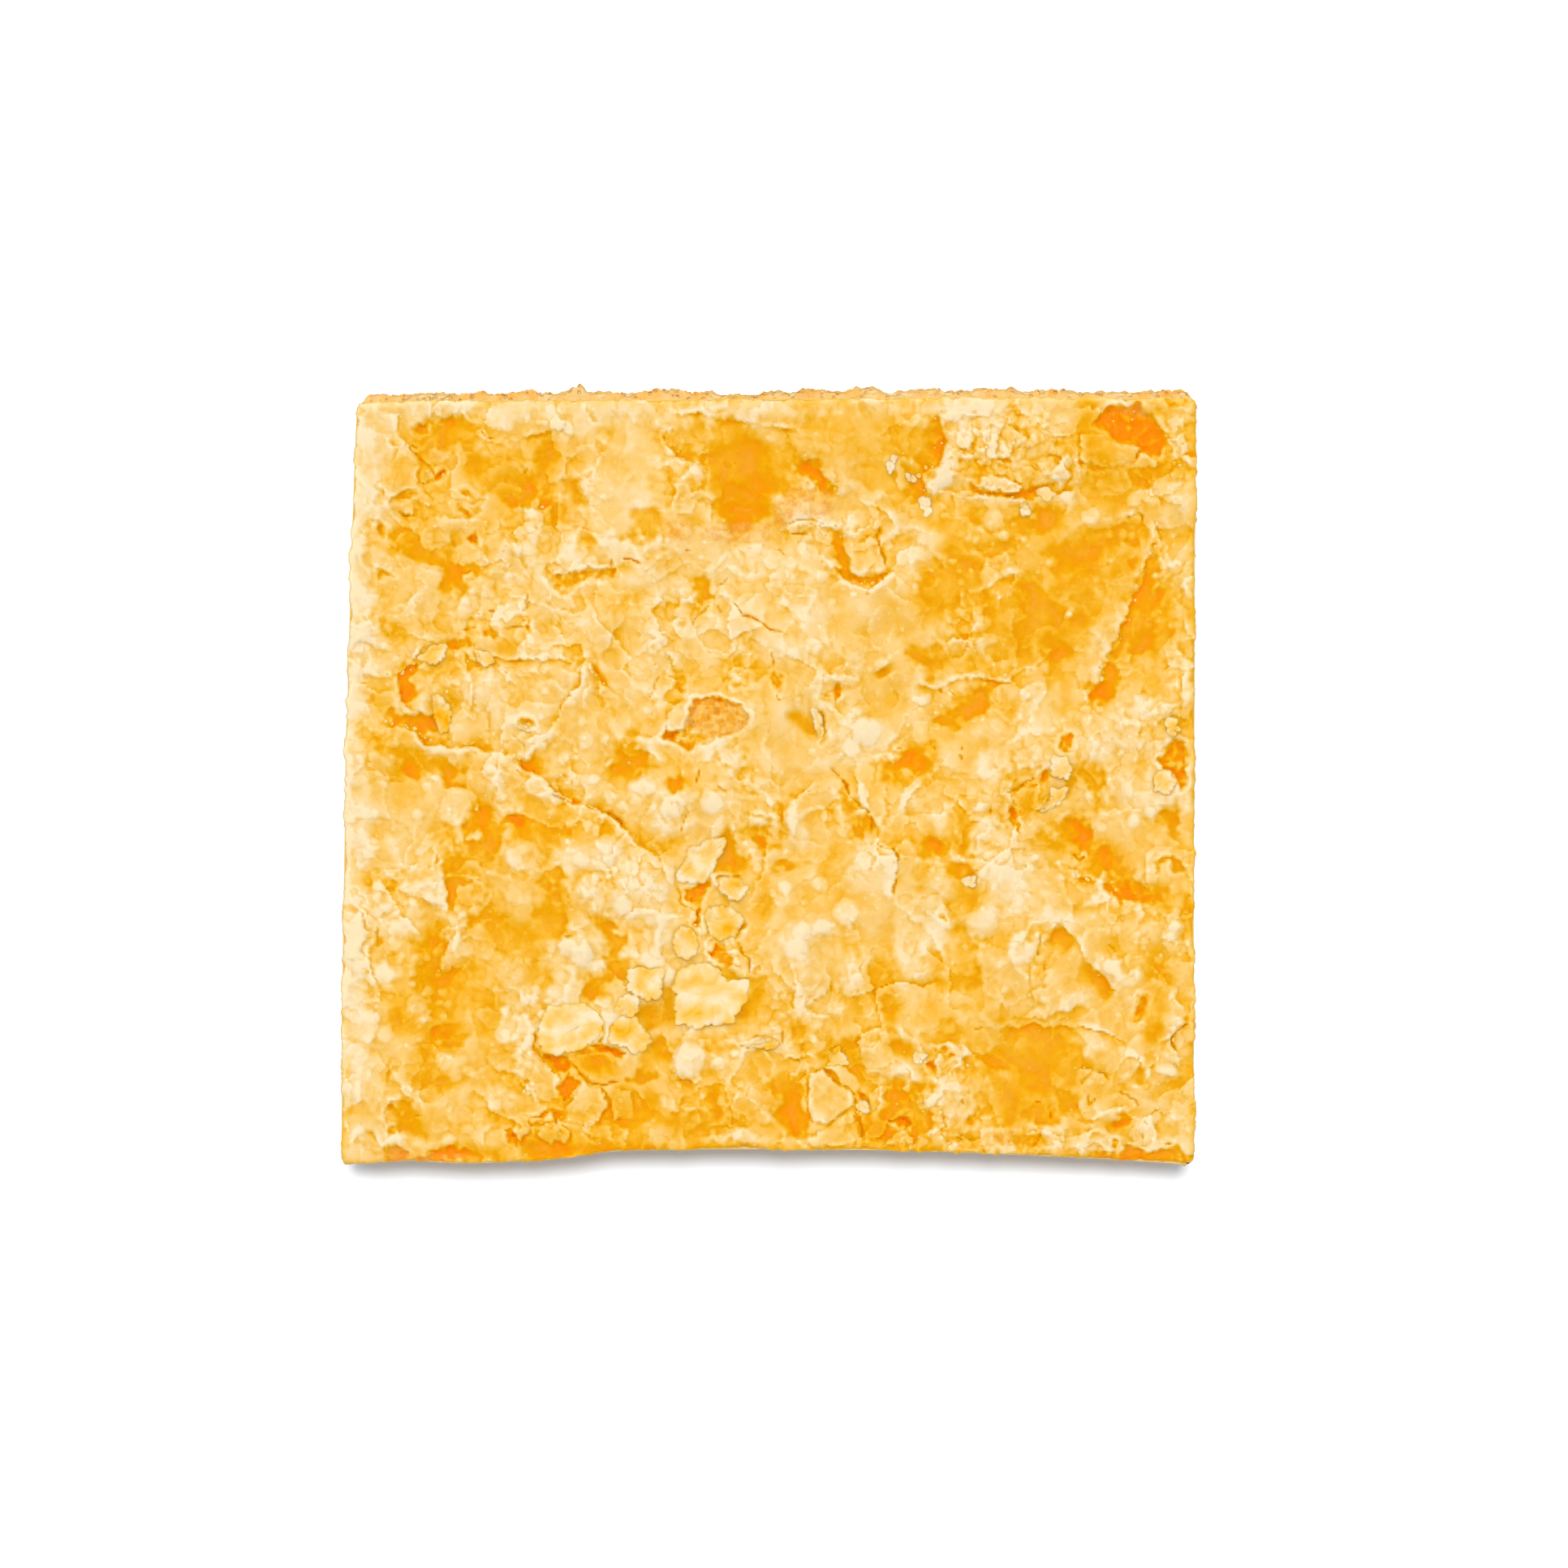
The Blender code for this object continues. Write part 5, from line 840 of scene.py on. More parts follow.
def raise_swells(skin):
    """The skin's broad swells, with the amber places sunk and a fine unevenness all over."""
    x, y = skin.x, skin.y
    skin.height = SKIN_LEVEL
    for seed, size, rise in SWELLS:
        skin.height = skin.height + rise * gradient_noise(seed, x / size, y / size)
    skin.height -= AMBER_SINK * (skin.tone - 0.5)
    skin.height += (0.02 + 0.06 * skin.broken) * layered_noise(51, x, y, 1.3, 2)
    uneven = 0.09 * layered_noise(57, x, y, 2.6, 2)
    skin.height += uneven - 0.1 * skin.crumb * np.abs(layered_noise(59, x, y, 0.9, 2))


def tear_skin(skin):
    """Broken edges that run all over: one side lifts and pales, the other sinks and deepens to amber,
    partly wet skin and partly painted shade.
    """
    bent_x = skin.jag_x + 0.4 * (skin.soft_x - skin.x)
    bent_y = skin.jag_y + 0.4 * (skin.soft_y - skin.y)
    for seed, size, share in SKIN_TEARS:
        tear = layered_noise(seed, bent_x, bent_y, size, 2, 0.4)
        spread = ease(0.25 + 1.5 * layered_noise(seed + 3, skin.x, skin.y, 6, 2))
        torn = share * spread * (0.35 + skin.broken)
        raised = np.exp(-np.maximum(tear, 0) / 0.3)
        sunk = -0.7 * np.exp(np.minimum(tear, 0) / 0.16)
        step = sunk + (raised - sunk) * ease(tear * size / 0.5 + 0.5)
        skin.height += TEAR_RISE * torn * step
        # The sunk side's deeper tone is partly painted shade below the step.
        skin.tone -= torn * (0.13 * step + 0.08 * np.exp(-(((tear - 0.07) / 0.06) ** 2)))


def break_into_shards(skin):
    """Curds, overlapping plates and small flakes where the skin has broken up."""
    place_x = 0.7 * skin.jag_x + 0.3 * skin.soft_x
    place_y = 0.7 * skin.jag_y + 0.3 * skin.soft_y
    gap, tilt, chance = shards(67, place_x, place_y, 1.25)
    curd = ease(0.3 + 1.6 * layered_noise(69, skin.x, skin.y, 7, 2)) * (0.3 + skin.broken)
    skin.height += curd * 0.11 * np.sqrt(np.clip(gap / 0.5, 0, 1))
    skin.tone += curd * (0.17 * ease(1 - gap / 0.22) + 0.14 * (chance - 0.6))
    for seed, size, share in SHARD_PLATES:
        warp = 0.55 * size / 3.4
        place_x = 0.5 * (skin.x + skin.jag_x) + warp * (skin.soft_x - skin.x)
        place_y = 0.5 * (skin.y + skin.jag_y) + warp * (skin.soft_y - skin.y)
        gap, tilt, chance = shards(seed, place_x, place_y, size)
        skin.height += share * skin.broken * (0.17 * (chance - 0.5) + 0.09 * tilt)
        skin.tone -= share * skin.broken * (0.3 * (chance - 0.5) + 0.2 * tilt / size)
    gap, tilt, chance = shards(65, skin.jag_x, skin.jag_y, 1.4)
    flaked = ease((skin.broken - 0.62) / 0.3)
    skin.height += flaked * (0.11 * (chance - 0.4) + 0.09 * tilt - 0.06 * ease(1 - gap / 0.16))
    skin.tone += flaked * (0.18 * (chance - 0.5) + 0.1 * ease(1 - gap / 0.2))


def sink_valleys(skin):
    """Wet amber valleys along lines."""
    for target, half_width, *points in VALLEYS:
        near = skin.near(points, 5 * half_width + 1.5)
        place_x = skin.soft_x[near] * 0.7 + skin.x[near] * 0.3
        place_y = skin.soft_y[near] * 0.7 + skin.y[near] * 0.3
        side, way = line_side(place_x, place_y, points)
        across = 0.8 * np.exp(-((side / (2.1 * half_width)) ** 2))
        weight = across * ease(way / 0.25) * ease((1 - way) / 0.25)
        skin.tone[near] += (target - skin.tone[near]) * 0.85 * weight
        skin.height[near] -= VALLEY_SINK * weight


def lift_lips(skin):
    """Broken lips: the skin stands up on the left of each line, and under it the tone deepens to amber,
    partly wet skin and partly painted shade of the undercut.
    """
    for rise, *points in LIPS:
        near = skin.near(points, 5)
        bent_x = skin.jag_x[near] + 0.5 * (skin.soft_x[near] - skin.x[near])
        bent_y = skin.jag_y[near] + 0.5 * (skin.soft_y[near] - skin.y[near])
        side, way = line_side(bent_x, bent_y, points)
        fade = ease(way / 0.1) * ease((1 - way) / 0.1) * (0.55 + 0.45 * skin.patchy[near])
        lip = LIP_RISE * rise * np.exp(-np.maximum(side, 0) / (0.9 + 1.4 * rise))
        hollow = -LIP_HOLLOW * rise * np.exp(np.minimum(side, 0) / (0.5 + 0.5 * rise))
        skin.height[near] += fade * (hollow + (lip - hollow) * ease((side + 0.14) / 0.28))
        pale = ease(1 - np.abs(side - 0.3) / 0.3)
        # The low side's amber is partly wet skin and partly painted shade under the lip; the pale band on
        # the raised side is the broken edge's own colour.
        wet = np.exp(np.minimum(side, 0) / (0.35 + 0.6 * rise)) * (side <= 0)
        skin.tone[near] += fade * (0.26 * wet * (0.4 + rise) - 0.24 * pale)


def blow_blisters(skin):
    """Round blisters of trapped steam, pale on top with a faint amber ring."""
    for place_x, place_y, radius in BLISTERS + SMALL_BLISTERS:
        near = skin.near([(place_x, place_y)], 2 * radius)
        right = 0.4 * skin.x[near] + 0.3 * (skin.soft_x[near] + skin.jag_x[near]) - place_x
        up = 0.4 * skin.y[near] + 0.3 * (skin.soft_y[near] + skin.jag_y[near]) - place_y
        reach = np.hypot(right, up) / radius
        dome = np.sqrt(np.clip(1 - reach**2, 0, 1))
        skin.height[near] += (0.03 + 0.18 * radius) * dome
        skin.tone[near] -= 0.15 * ease(1.5 - reach) - 0.06 * np.exp(-(((reach - 1.15) / 0.2) ** 2))


def lay_plates(skin):
    """Plates of skin that still hang on: raised, with a pale rim and a groove around them whose deeper tone
    is a painted shadow line.
    """
    for target, thick, *outline in PLATES:
        near = skin.near(outline, 1)
        depth = skin.depth_in(near, outline)
        inside = ease(depth / 0.16)
        patchy = skin.patchy[near]
        groove = np.exp(-(((depth + 0.12) / 0.14) ** 2)) * patchy
        skin.height[near] += PLATE_RISE * thick * inside * (0.4 + 0.6 * patchy) - 0.12 * groove
        skin.tone[near] += (target + 0.06 - skin.tone[near]) * inside * 0.75
        # The groove's deeper tone is a painted shadow line around the plate.
        skin.tone[near] += 0.16 * groove - 0.12 * np.exp(-(((depth - 0.25) / 0.16) ** 2))


def open_holes(skin):
    """Holes through the skin, with a mottled wet or crumbly floor and a pale lip."""
    skin.tone -= 0.5 * np.maximum(skin.tone - 0.95, 0)
    for target, bare, deep, *outline in HOLES:
        near = skin.near(outline, 1)
        depth = skin.depth_in(near, outline)
        x, y, patchy = skin.x[near], skin.y[near], skin.patchy[near]
        soft_edge = 0.2 + 0.1 * np.ptp(outline, axis=0).min() * (1 - patchy)
        inside = ease((depth + 0.06) / soft_edge)
        drop = HOLE_SINK * deep * ease((depth + 0.06) / 0.4)
        skin.height[near] -= drop - 0.07 * np.exp(-(((depth + 0.25) / 0.2) ** 2))
        skin.height[near] -= 0.2 * bare * inside * np.abs(layered_noise(66, x, y, 0.9, 2))
        mottle = layered_noise(68, x, y, 0.8, 2)
        skin.height[near] += 0.2 * mottle * inside
        skin.tone[near] += (target - 0.1 - 0.34 * mottle - skin.tone[near]) * inside
        skin.tone[near] -= 0.2 * np.exp(-(((depth + 0.22) / 0.16) ** 2)) * (0.3 + 0.7 * patchy)
        skin.crumb[near] = np.maximum(skin.crumb[near], bare * inside)


def draw_cracks(skin):
    """Fine cracks, narrow at both ends and darkest where they are widest."""
    for half_width, *points in CRACKS:
        near = skin.near(points, 1)
        place_x = skin.x[near] * 0.5 + skin.jag_x[near] * 0.5
        place_y = skin.y[near] * 0.5 + skin.jag_y[near] * 0.5
        side, way = line_side(place_x, place_y, points)
        width = np.maximum(half_width * 1.1 * ease(way / 0.2 + 0.3) * ease((1 - way) / 0.2 + 0.3), 0.05)
        slit = np.exp(-((side / width) ** 2))
        skin.height[near] -= CRACK_SINK * slit
        skin.crack[near] = np.maximum(skin.crack[near], slit * min(1, half_width / 0.14) ** 2)


def bed_flakes(skin):
    """A shallow bed in the skin under each loose flake, with a painted amber shade under the flake and just
    around it.
    """
    for _, _, *outline in FLAKES:
        near = skin.near(outline, 1.5)
        depth = outline_depth(skin.x[near], skin.y[near], outline)
        # Painted shade: the tone deepens to amber under the flake and just outside its outline.
        skin.tone[near] += (0.95 - skin.tone[near]) * 0.6 * ease((depth + 0.4) / 0.5)
        skin.height[near] -= FLAKE_BED * ease((depth + 0.05) / 0.5)


def skin_relief(x, y):
    """Height in mm, tone, bare crumb and crack of the skin at plan points."""
    skin = SkinPatch(x, y)
    for step in (
        lay_colour_zones, raise_swells, tear_skin, break_into_shards, sink_valleys, lift_lips,
        blow_blisters, lay_plates, open_holes, draw_cracks, bed_flakes,
    ):
        step(skin)
    return skin.height, np.clip(skin.tone, 0.04, TONE_TOP), skin.crumb, skin.crack


def small_blisters():
    """Many little steam blisters, crowded where the skin has set smooth."""
    rng = np.random.default_rng(5)
    found = []
    for place_x, place_y, spread, count in BLISTER_CROWDS:
        for _ in range(count):
            right, up = rng.normal(0, spread, 2)
            found.append((place_x + right, place_y + up, rng.uniform(0.16, 0.42)))
    for _ in range(LONE_BLISTERS):
        found.append((*rng.uniform((-40, -36), (40, 35)), rng.uniform(0.12, 0.3)))
    return tuple(found)


def blurred(grid, reach):
    """A grid of heights with everything finer than a reach in steps smoothed away."""
    spread = np.arange(-int(2.5 * reach) - 1, int(2.5 * reach) + 2)
    weights = np.exp(-((spread / reach) ** 2))
    weights /= weights.sum()
    for axis in (0, 1):
        margins = [(0, 0), (0, 0)]
        margins[axis] = (len(spread) // 2, len(spread) // 2)
        padded = np.pad(grid, margins, "edge")
        size = grid.shape[axis]
        grid = sum(w * np.take(padded, range(k, k + size), axis) for k, w in enumerate(weights))
    return grid


def deselect():
    """Leaves nothing selected before a new piece is started."""
    bpy.ops.object.select_all(action="DESELECT")


def draw_down(rings):
    """Extrudes the open rim of the mesh in edit mode down in rings and closes it."""
    bpy.ops.object.mode_set(mode="EDIT")
    bpy.ops.mesh.select_all(action="SELECT")
    bpy.ops.mesh.region_to_loop()
    for _ in range(rings):
        bpy.ops.mesh.extrude_edges_move(TRANSFORM_OT_translate={"value": (0, 0, -1)})
    bpy.ops.mesh.edge_face_add()
    bpy.ops.mesh.select_all(action="SELECT")
    bpy.ops.mesh.normals_make_consistent(inside=False)
    bpy.ops.object.mode_set(mode="OBJECT")


def points_of(piece):
    """The piece's vertex places as an array."""
    places = np.empty(len(piece.data.vertices) * 3, np.float32)
    piece.data.vertices.foreach_get("co", places)
    return places.reshape(-1, 3).astype(float)


def put_points(piece, places, **marks):
    """Puts the vertices in their places in mm, and keeps what the material reads at each."""
    piece.data.vertices.foreach_set("co", (places * MM).astype(np.float32).ravel())
    for name, values in marks.items():
        mark = piece.data.attributes.new(name, "FLOAT", "POINT")
        mark.data.foreach_set("value", np.asarray(values, np.float32))
    piece.data.update()


def thin_out(piece, triangles):
    """Keeps the triangles where the surface bends most."""
    faces = sum(len(face.vertices) - 2 for face in piece.data.polygons)
    if faces <= triangles:
        return
    thin = piece.modifiers.new("thin_mesh", "DECIMATE")
    thin.ratio = triangles / faces
    bpy.context.view_layer.objects.active = piece
    bpy.ops.object.modifier_apply(modifier=thin.name)


def make_skin():
    """The baked skin: a blistered, cracked cap with a rim that hangs over the filling."""
    deselect()
    columns, rows = round(WIDTH / SKIN_STEP), round(DEPTH / SKIN_STEP)
    bpy.ops.mesh.primitive_grid_add(x_subdivisions=columns, y_subdivisions=rows, size=1)
    skin = bpy.context.object
    skin.name = skin.data.name = "baked_skin"
    draw_down(RIM_ROWS + 2)
    unit = points_of(skin)
    ring = np.round(-unit[:, 2]).astype(int)
    shares = rounded_shares(unit[:, :2] + 0.5)
    inset = 0.5 - np.abs(shares - 0.5)
    from_wall = np.minimum(inset[:, 0] * WIDTH, inset[:, 1] * DEPTH)
    plan = plan_point(shares[:, 0], shares[:, 1], GOOEY_SET_BACK)
    height, tone, crumb, crack = skin_relief(plan[:, 0], plan[:, 1])

    order = np.flatnonzero(ring == 0)
    order = order[np.lexsort((np.round(unit[order, 0], 5), np.round(unit[order, 1], 5)))]
    grid = height[order].reshape(rows + 1, columns + 1)
    # Painted light and shade: the tone pales where the skin stands above its surroundings and deepens to
    # amber in its hollows and on its steep faces, where shade falls.
    ridge_light_hollow_shade = 1.1 * (grid - blurred(grid, 2.5)) + 0.7 * (grid - blurred(grid, 8))
    steep = ease((np.hypot(*np.gradient(grid, SKIN_STEP)) - 0.7) / 1.6)
    steep_face_shade = 0.55 * steep * (1.15 - tone[order].reshape(grid.shape))
    tone[order] += (steep_face_shade - np.clip(ridge_light_hollow_shade, -0.35, 0.35)).ravel()

    near_wall = np.clip(1 - from_wall / SHOULDER, 0, 1)
    height -= SHOULDER * (1 - np.sqrt(1 - near_wall**2 * 0.9))
    # Painted shade: deeper tone in the band along the front and right edges; paler along the left edge.
    edge_shade_and_tint = np.where(plan[:, 0] < -38, LEFT_EDGE_TINT, 0)
    edge_shade_and_tint = np.where(plan[:, 0] > 38, RIGHT_EDGE_SHADE, edge_shade_and_tint)
    edge_shade_and_tint = np.where(plan[:, 1] < -34, FRONT_EDGE_SHADE, edge_shade_and_tint)
    tone += ease(1 - from_wall / EDGE_BAND) * edge_shade_and_tint
    inward = np.zeros(len(ring))
    for row in range(1, RIM_ROWS + 1):
        here = ring == row
        height[here] -= SKIN_THICK * row / RIM_ROWS
        inward[here] = 0.12 * math.sin(math.pi * row / RIM_ROWS) ** 2 * -1
    under, plug = ring == RIM_ROWS + 1, ring == RIM_ROWS + 2
    height[under] -= SKIN_THICK
    inward[under] = PLUG_INSET
    height[plug] = POCKET_FLOOR + 0.1
    inward[plug] = PLUG_INSET
    coarse = layered_noise(77, plan[:, 0], plan[:, 1], 6, 2)
    fine = layered_noise(79, plan[:, 0], plan[:, 1], 1.1, 3, 0.7)
    ragged = RAGGED_RIM * (coarse + 0.6 * fine)
    out = np.sign(shares - 0.5) * ease(1 - inset * (WIDTH, DEPTH) / 1.6)
    plan += out * ragged[:, None]
    middle = plan_point(np.array([0.5]), np.array([0.5]), GOOEY_SET_BACK)[0]
    share_in = 1 - inward / (WIDTH / 2)
    plan = middle + (plan - middle) * share_in[:, None]
    rim = (ring > 0) & (ring <= RIM_ROWS)
    tone[rim] = RIM_TONE + 0.2 * layered_noise(71, plan[rim, 0] + plan[rim, 1], height[rim], 1.5, 2)
    put_points(skin, np.column_stack((plan, height)), tone=tone, crumb=crumb, crack=crack)
    thin_out(skin, GOOEY_TRIANGLES)
    return skin


def ring_stack(name, count, rings):
    """A closed stack of rings, one unit apart, around the cut outline."""
    deselect()
    bpy.ops.mesh.primitive_circle_add(vertices=count, radius=1, fill_type="NGON")
    piece = bpy.context.object
    piece.name = piece.data.name = name
    draw_down(rings - 1)
    unit = points_of(piece)
    station = np.round(np.arctan2(unit[:, 0], unit[:, 1]) / (2 * math.pi) * count).astype(int) % count
    return piece, station, np.round(-unit[:, 2]).astype(int)


def pores(seed, run, level, count, size, high):
    """Depth of open pores in a cut wall, at places along it and heights up it, in mm."""
    rng = np.random.default_rng(seed)
    depth = np.zeros(run.shape)
    for _ in range(count):
        place, up = rng.uniform(0, PERIMETER), rng.uniform(*high)
        long, tall = rng.uniform(0.4, 1.0, 2) * size
        near = np.flatnonzero((np.abs(run - place) < long) & (np.abs(level - up) < tall))
        reach = np.hypot((run[near] - place) / long, (level[near] - up) / tall)
        depth[near] = np.maximum(depth[near], 0.55 * min(long, tall) * np.sqrt(np.clip(1 - reach**2, 0, 1)))
    return depth


def make_filling():
    """The set filling's cut walls: dense custard with small pores and the drag of the knife."""
    rings = GOOEY_WALL_ROWS + 3
    filling, station, ring = ring_stack("gooey_filling", WALL_STATIONS, rings)
    plan, outward, run = cut_outline(WALL_STATIONS, GOOEY_SET_BACK)
    brim = skin_relief(plan[:, 0], plan[:, 1])[0] - SHOULDER * 0.68 - SKIN_THICK
    spread = np.exp(-((np.arange(-12, 13) / 6) ** 2))
    padded = np.concatenate((brim[-12:], brim, brim[:12]))
    brim = np.convolve(padded, spread / spread.sum(), "valid")

    row = np.clip(ring - 2, 0, GOOEY_WALL_ROWS) / GOOEY_WALL_ROWS
    floor = BASE_TOP + 0.02
    level = brim[station] + (floor - brim[station]) * row
    level[ring == 0] = POCKET_FLOOR
    level[ring == 1] = brim[station[ring == 1]]
    along = run[station]
    seam = ease(np.minimum(along, PERIMETER - along) / 1.5)
    wall = ease(row / 0.04) * ease((1 - row) / 0.04) * seam
    drag = 0.16 * layered_noise(81, along, level * 0.16, 1.1, 3)
    lumps = 0.3 * layered_noise(85, along, level, 4.5, 3)
    holes = 0
    for seed, count, size in FILLING_PORES:
        holes = holes + pores(seed, along, level, count, size, (floor, 22))
    push = 0.12 + wall * (1.3 * drag + lumps - 1.3 * holes) - 0.2 * wall
    push[ring <= 1] = -PLUG_INSET - 0.15
    places = plan[station] + outward[station] * push[:, None]
    tone = 0.36 + 0.14 * layered_noise(88, along, level, 3, 3) + 0.1 * ease(1 - (level - floor) / 2.5)
    # Painted shade: the tone deepens in the pores in step with their depth.
    tone += 0.3 * holes + 0.12 * ease((level - 20) / 2)
    put_points(
        filling,
        np.column_stack((places, level)),
        tone=tone,
        crumb=np.zeros(len(tone)),
        crack=np.zeros(len(tone)),
    )
    return filling


def make_base():
    """The butter cake base: an open tan crumb, browned on its underside."""
    lid = BASE_LID_INSETS
    rings = len(lid) + BASE_WALL_ROWS + 2
    base, station, ring = ring_stack("butter_cake_base", WALL_STATIONS, rings)
    plan, outward, run = cut_outline(WALL_STATIONS, BASE_SET_BACK)
    first = len(lid)
    row = np.clip(ring - first, 0, BASE_WALL_ROWS) / BASE_WALL_ROWS
    level = BASE_TOP * (1 - row)
    inset = np.zeros(len(ring))
    for number, depth in enumerate(lid):
        inset[ring == number] = depth
    inset[ring == rings - 1] = 1.5
    level[ring == rings - 1] = 0.0
    along = run[station]
    seam = ease(np.minimum(along, PERIMETER - along) / 1.5)
    crumbs = layered_noise(91, along, level, 1.7, 4, 0.65)
    holes = 0
    for seed, count, size, lowest in BASE_PORES:
        holes = holes + pores(seed, along, level, count, size, (lowest, BASE_TOP))
    holes *= 1 - 0.8 * ease((level - 6.5) / 1.5)
    wall = (ring >= first) * ease((1 - row) / 0.06) * seam
    back = np.zeros(len(ring))
    for place, half_length, rise in BACK_CRUMBS:
        across = plan[station, 0] - place
        back += rise * ease(1.3 - np.abs(across) / half_length) * (outward[station, 1] > 0.7)
    push = wall * (0.4 * crumbs - 1.4 * holes - 0.1) + back * ease(level / BASE_TOP * 1.4) - inset
    places = plan[station] + outward[station] * push[:, None]
    lid_crumbs = layered_noise(95, places[:, 0], places[:, 1], 1.3, 3, 0.6)
    on_lid = (ring < first) & (ring > 0)
    level[on_lid] -= 0.3 * np.abs(lid_crumbs[on_lid])
    # Painted shade: the tone deepens in the pores in step with their depth.
    tone = 0.42 + 0.24 * crumbs + 0.4 * holes - 0.12 * ease((level - 7) / 2)
    crust = ease(1 - level / 1.6)
    put_points(base, np.column_stack((places, level)), tone=tone, crust=crust)
    return base


def make_flakes():
    """Loose plates of skin, thin and jagged, whose rims curl up."""
    pieces = []
    for number, (tone, lift, *outline) in enumerate(FLAKES):
        deselect()
        bpy.ops.mesh.primitive_circle_add(vertices=FLAKE_STATIONS, radius=1, fill_type="NOTHING")
        flake = bpy.context.object
        bpy.ops.object.mode_set(mode="EDIT")
        bpy.ops.mesh.select_all(action="SELECT")
        for share in FLAKE_INSETS:
            bpy.ops.mesh.extrude_edges_move()
            bpy.ops.transform.resize(value=(share, share, 1))
        bpy.ops.mesh.edge_face_add()
        bpy.ops.mesh.select_all(action="SELECT")
        bpy.ops.mesh.normals_make_consistent(inside=False)
        bpy.ops.object.mode_set(mode="OBJECT")
        shape_flake(flake, number, tone, lift, np.array(outline))
        pieces.append(flake)
    return join(pieces, "skin_flakes")


def shape_flake(flake, number, tone, lift, outline):
    """Pulls a disc to a flake's own jagged outline, curls it and gives it its thickness."""
    unit = points_of(flake)
    reach = np.clip(np.hypot(unit[:, 0], unit[:, 1]), 0, 1)
    turn = np.arctan2(unit[:, 1], unit[:, 0]) % (2 * math.pi)
    middle = outline.mean(axis=0)
    closed = np.vstack((outline, outline[:1]))
    runs = np.hypot(*np.diff(closed, axis=0).T)
    way = np.concatenate(([0], np.cumsum(runs))) / runs.sum()
    start = math.atan2(*(outline[0] - middle)[::-1])
    clockwise = np.sum((closed[1:, 0] - closed[:-1, 0]) * (closed[1:, 1] + closed[:-1, 1])) > 0
    along = ((turn - start) / (2 * math.pi)) % 1
    along = 1 - along if clockwise else along
    rim = np.stack([np.interp(along, way, closed[:, axis]) for axis in (0, 1)], 1)
    rng = np.random.default_rng(300 + number)
    jag = layered_noise(300 + number, rim[:, 0], rim[:, 1], 1.3, 3, 0.75) * reach**2
    far = np.hypot(*(rim - middle).T)
    plan = middle + (rim - middle) * (reach * (1 + 0.3 * jag / far))[:, None]
    under = skin_relief(outline[:, 0], outline[:, 1])[0]
    bed = np.median(under) - 0.05
    low = rng.uniform(0, 2 * math.pi)
    curl = 0.32 * lift * reach**1.8 * (0.4 + 0.6 * np.cos(turn - low))
    ripple = 0.2 * layered_noise(340 + number, plan[:, 0], plan[:, 1], 1.7, 4, 0.6)
    level = bed + 0.02 + curl + ripple
    pale = 0.14 * ease((reach - 0.6) / 0.4) - 0.07
    shade = 0.14 + 0.9 * tone - pale + 0.42 * layered_noise(350 + number, plan[:, 0], plan[:, 1], 1.6, 3)
    # Painted shade: the outermost ring, which makes the flake's rim and sides, gets a deeper amber tone.
    shade[reach > 0.99] += 0.4
    level[reach > 0.99] -= 0.1
    zero = np.zeros(len(shade))
    put_points(flake, np.column_stack((plan, level)), tone=shade, crumb=zero, crack=zero)
    bpy.context.view_layer.objects.active = flake
    thick = flake.modifiers.new("thickness", "SOLIDIFY")
    thick.thickness = FLAKE_THICK * MM
    thick.offset = 1
    bpy.ops.object.modifier_apply(modifier=thick.name)


def join(pieces, name):
    """Joins pieces of one kind into one piece."""
    deselect()
    for piece in pieces:
        piece.select_set(True)
    bpy.context.view_layer.objects.active = pieces[0]
    bpy.ops.object.join()
    whole = bpy.context.object
    whole.name = whole.data.name = name
    return whole


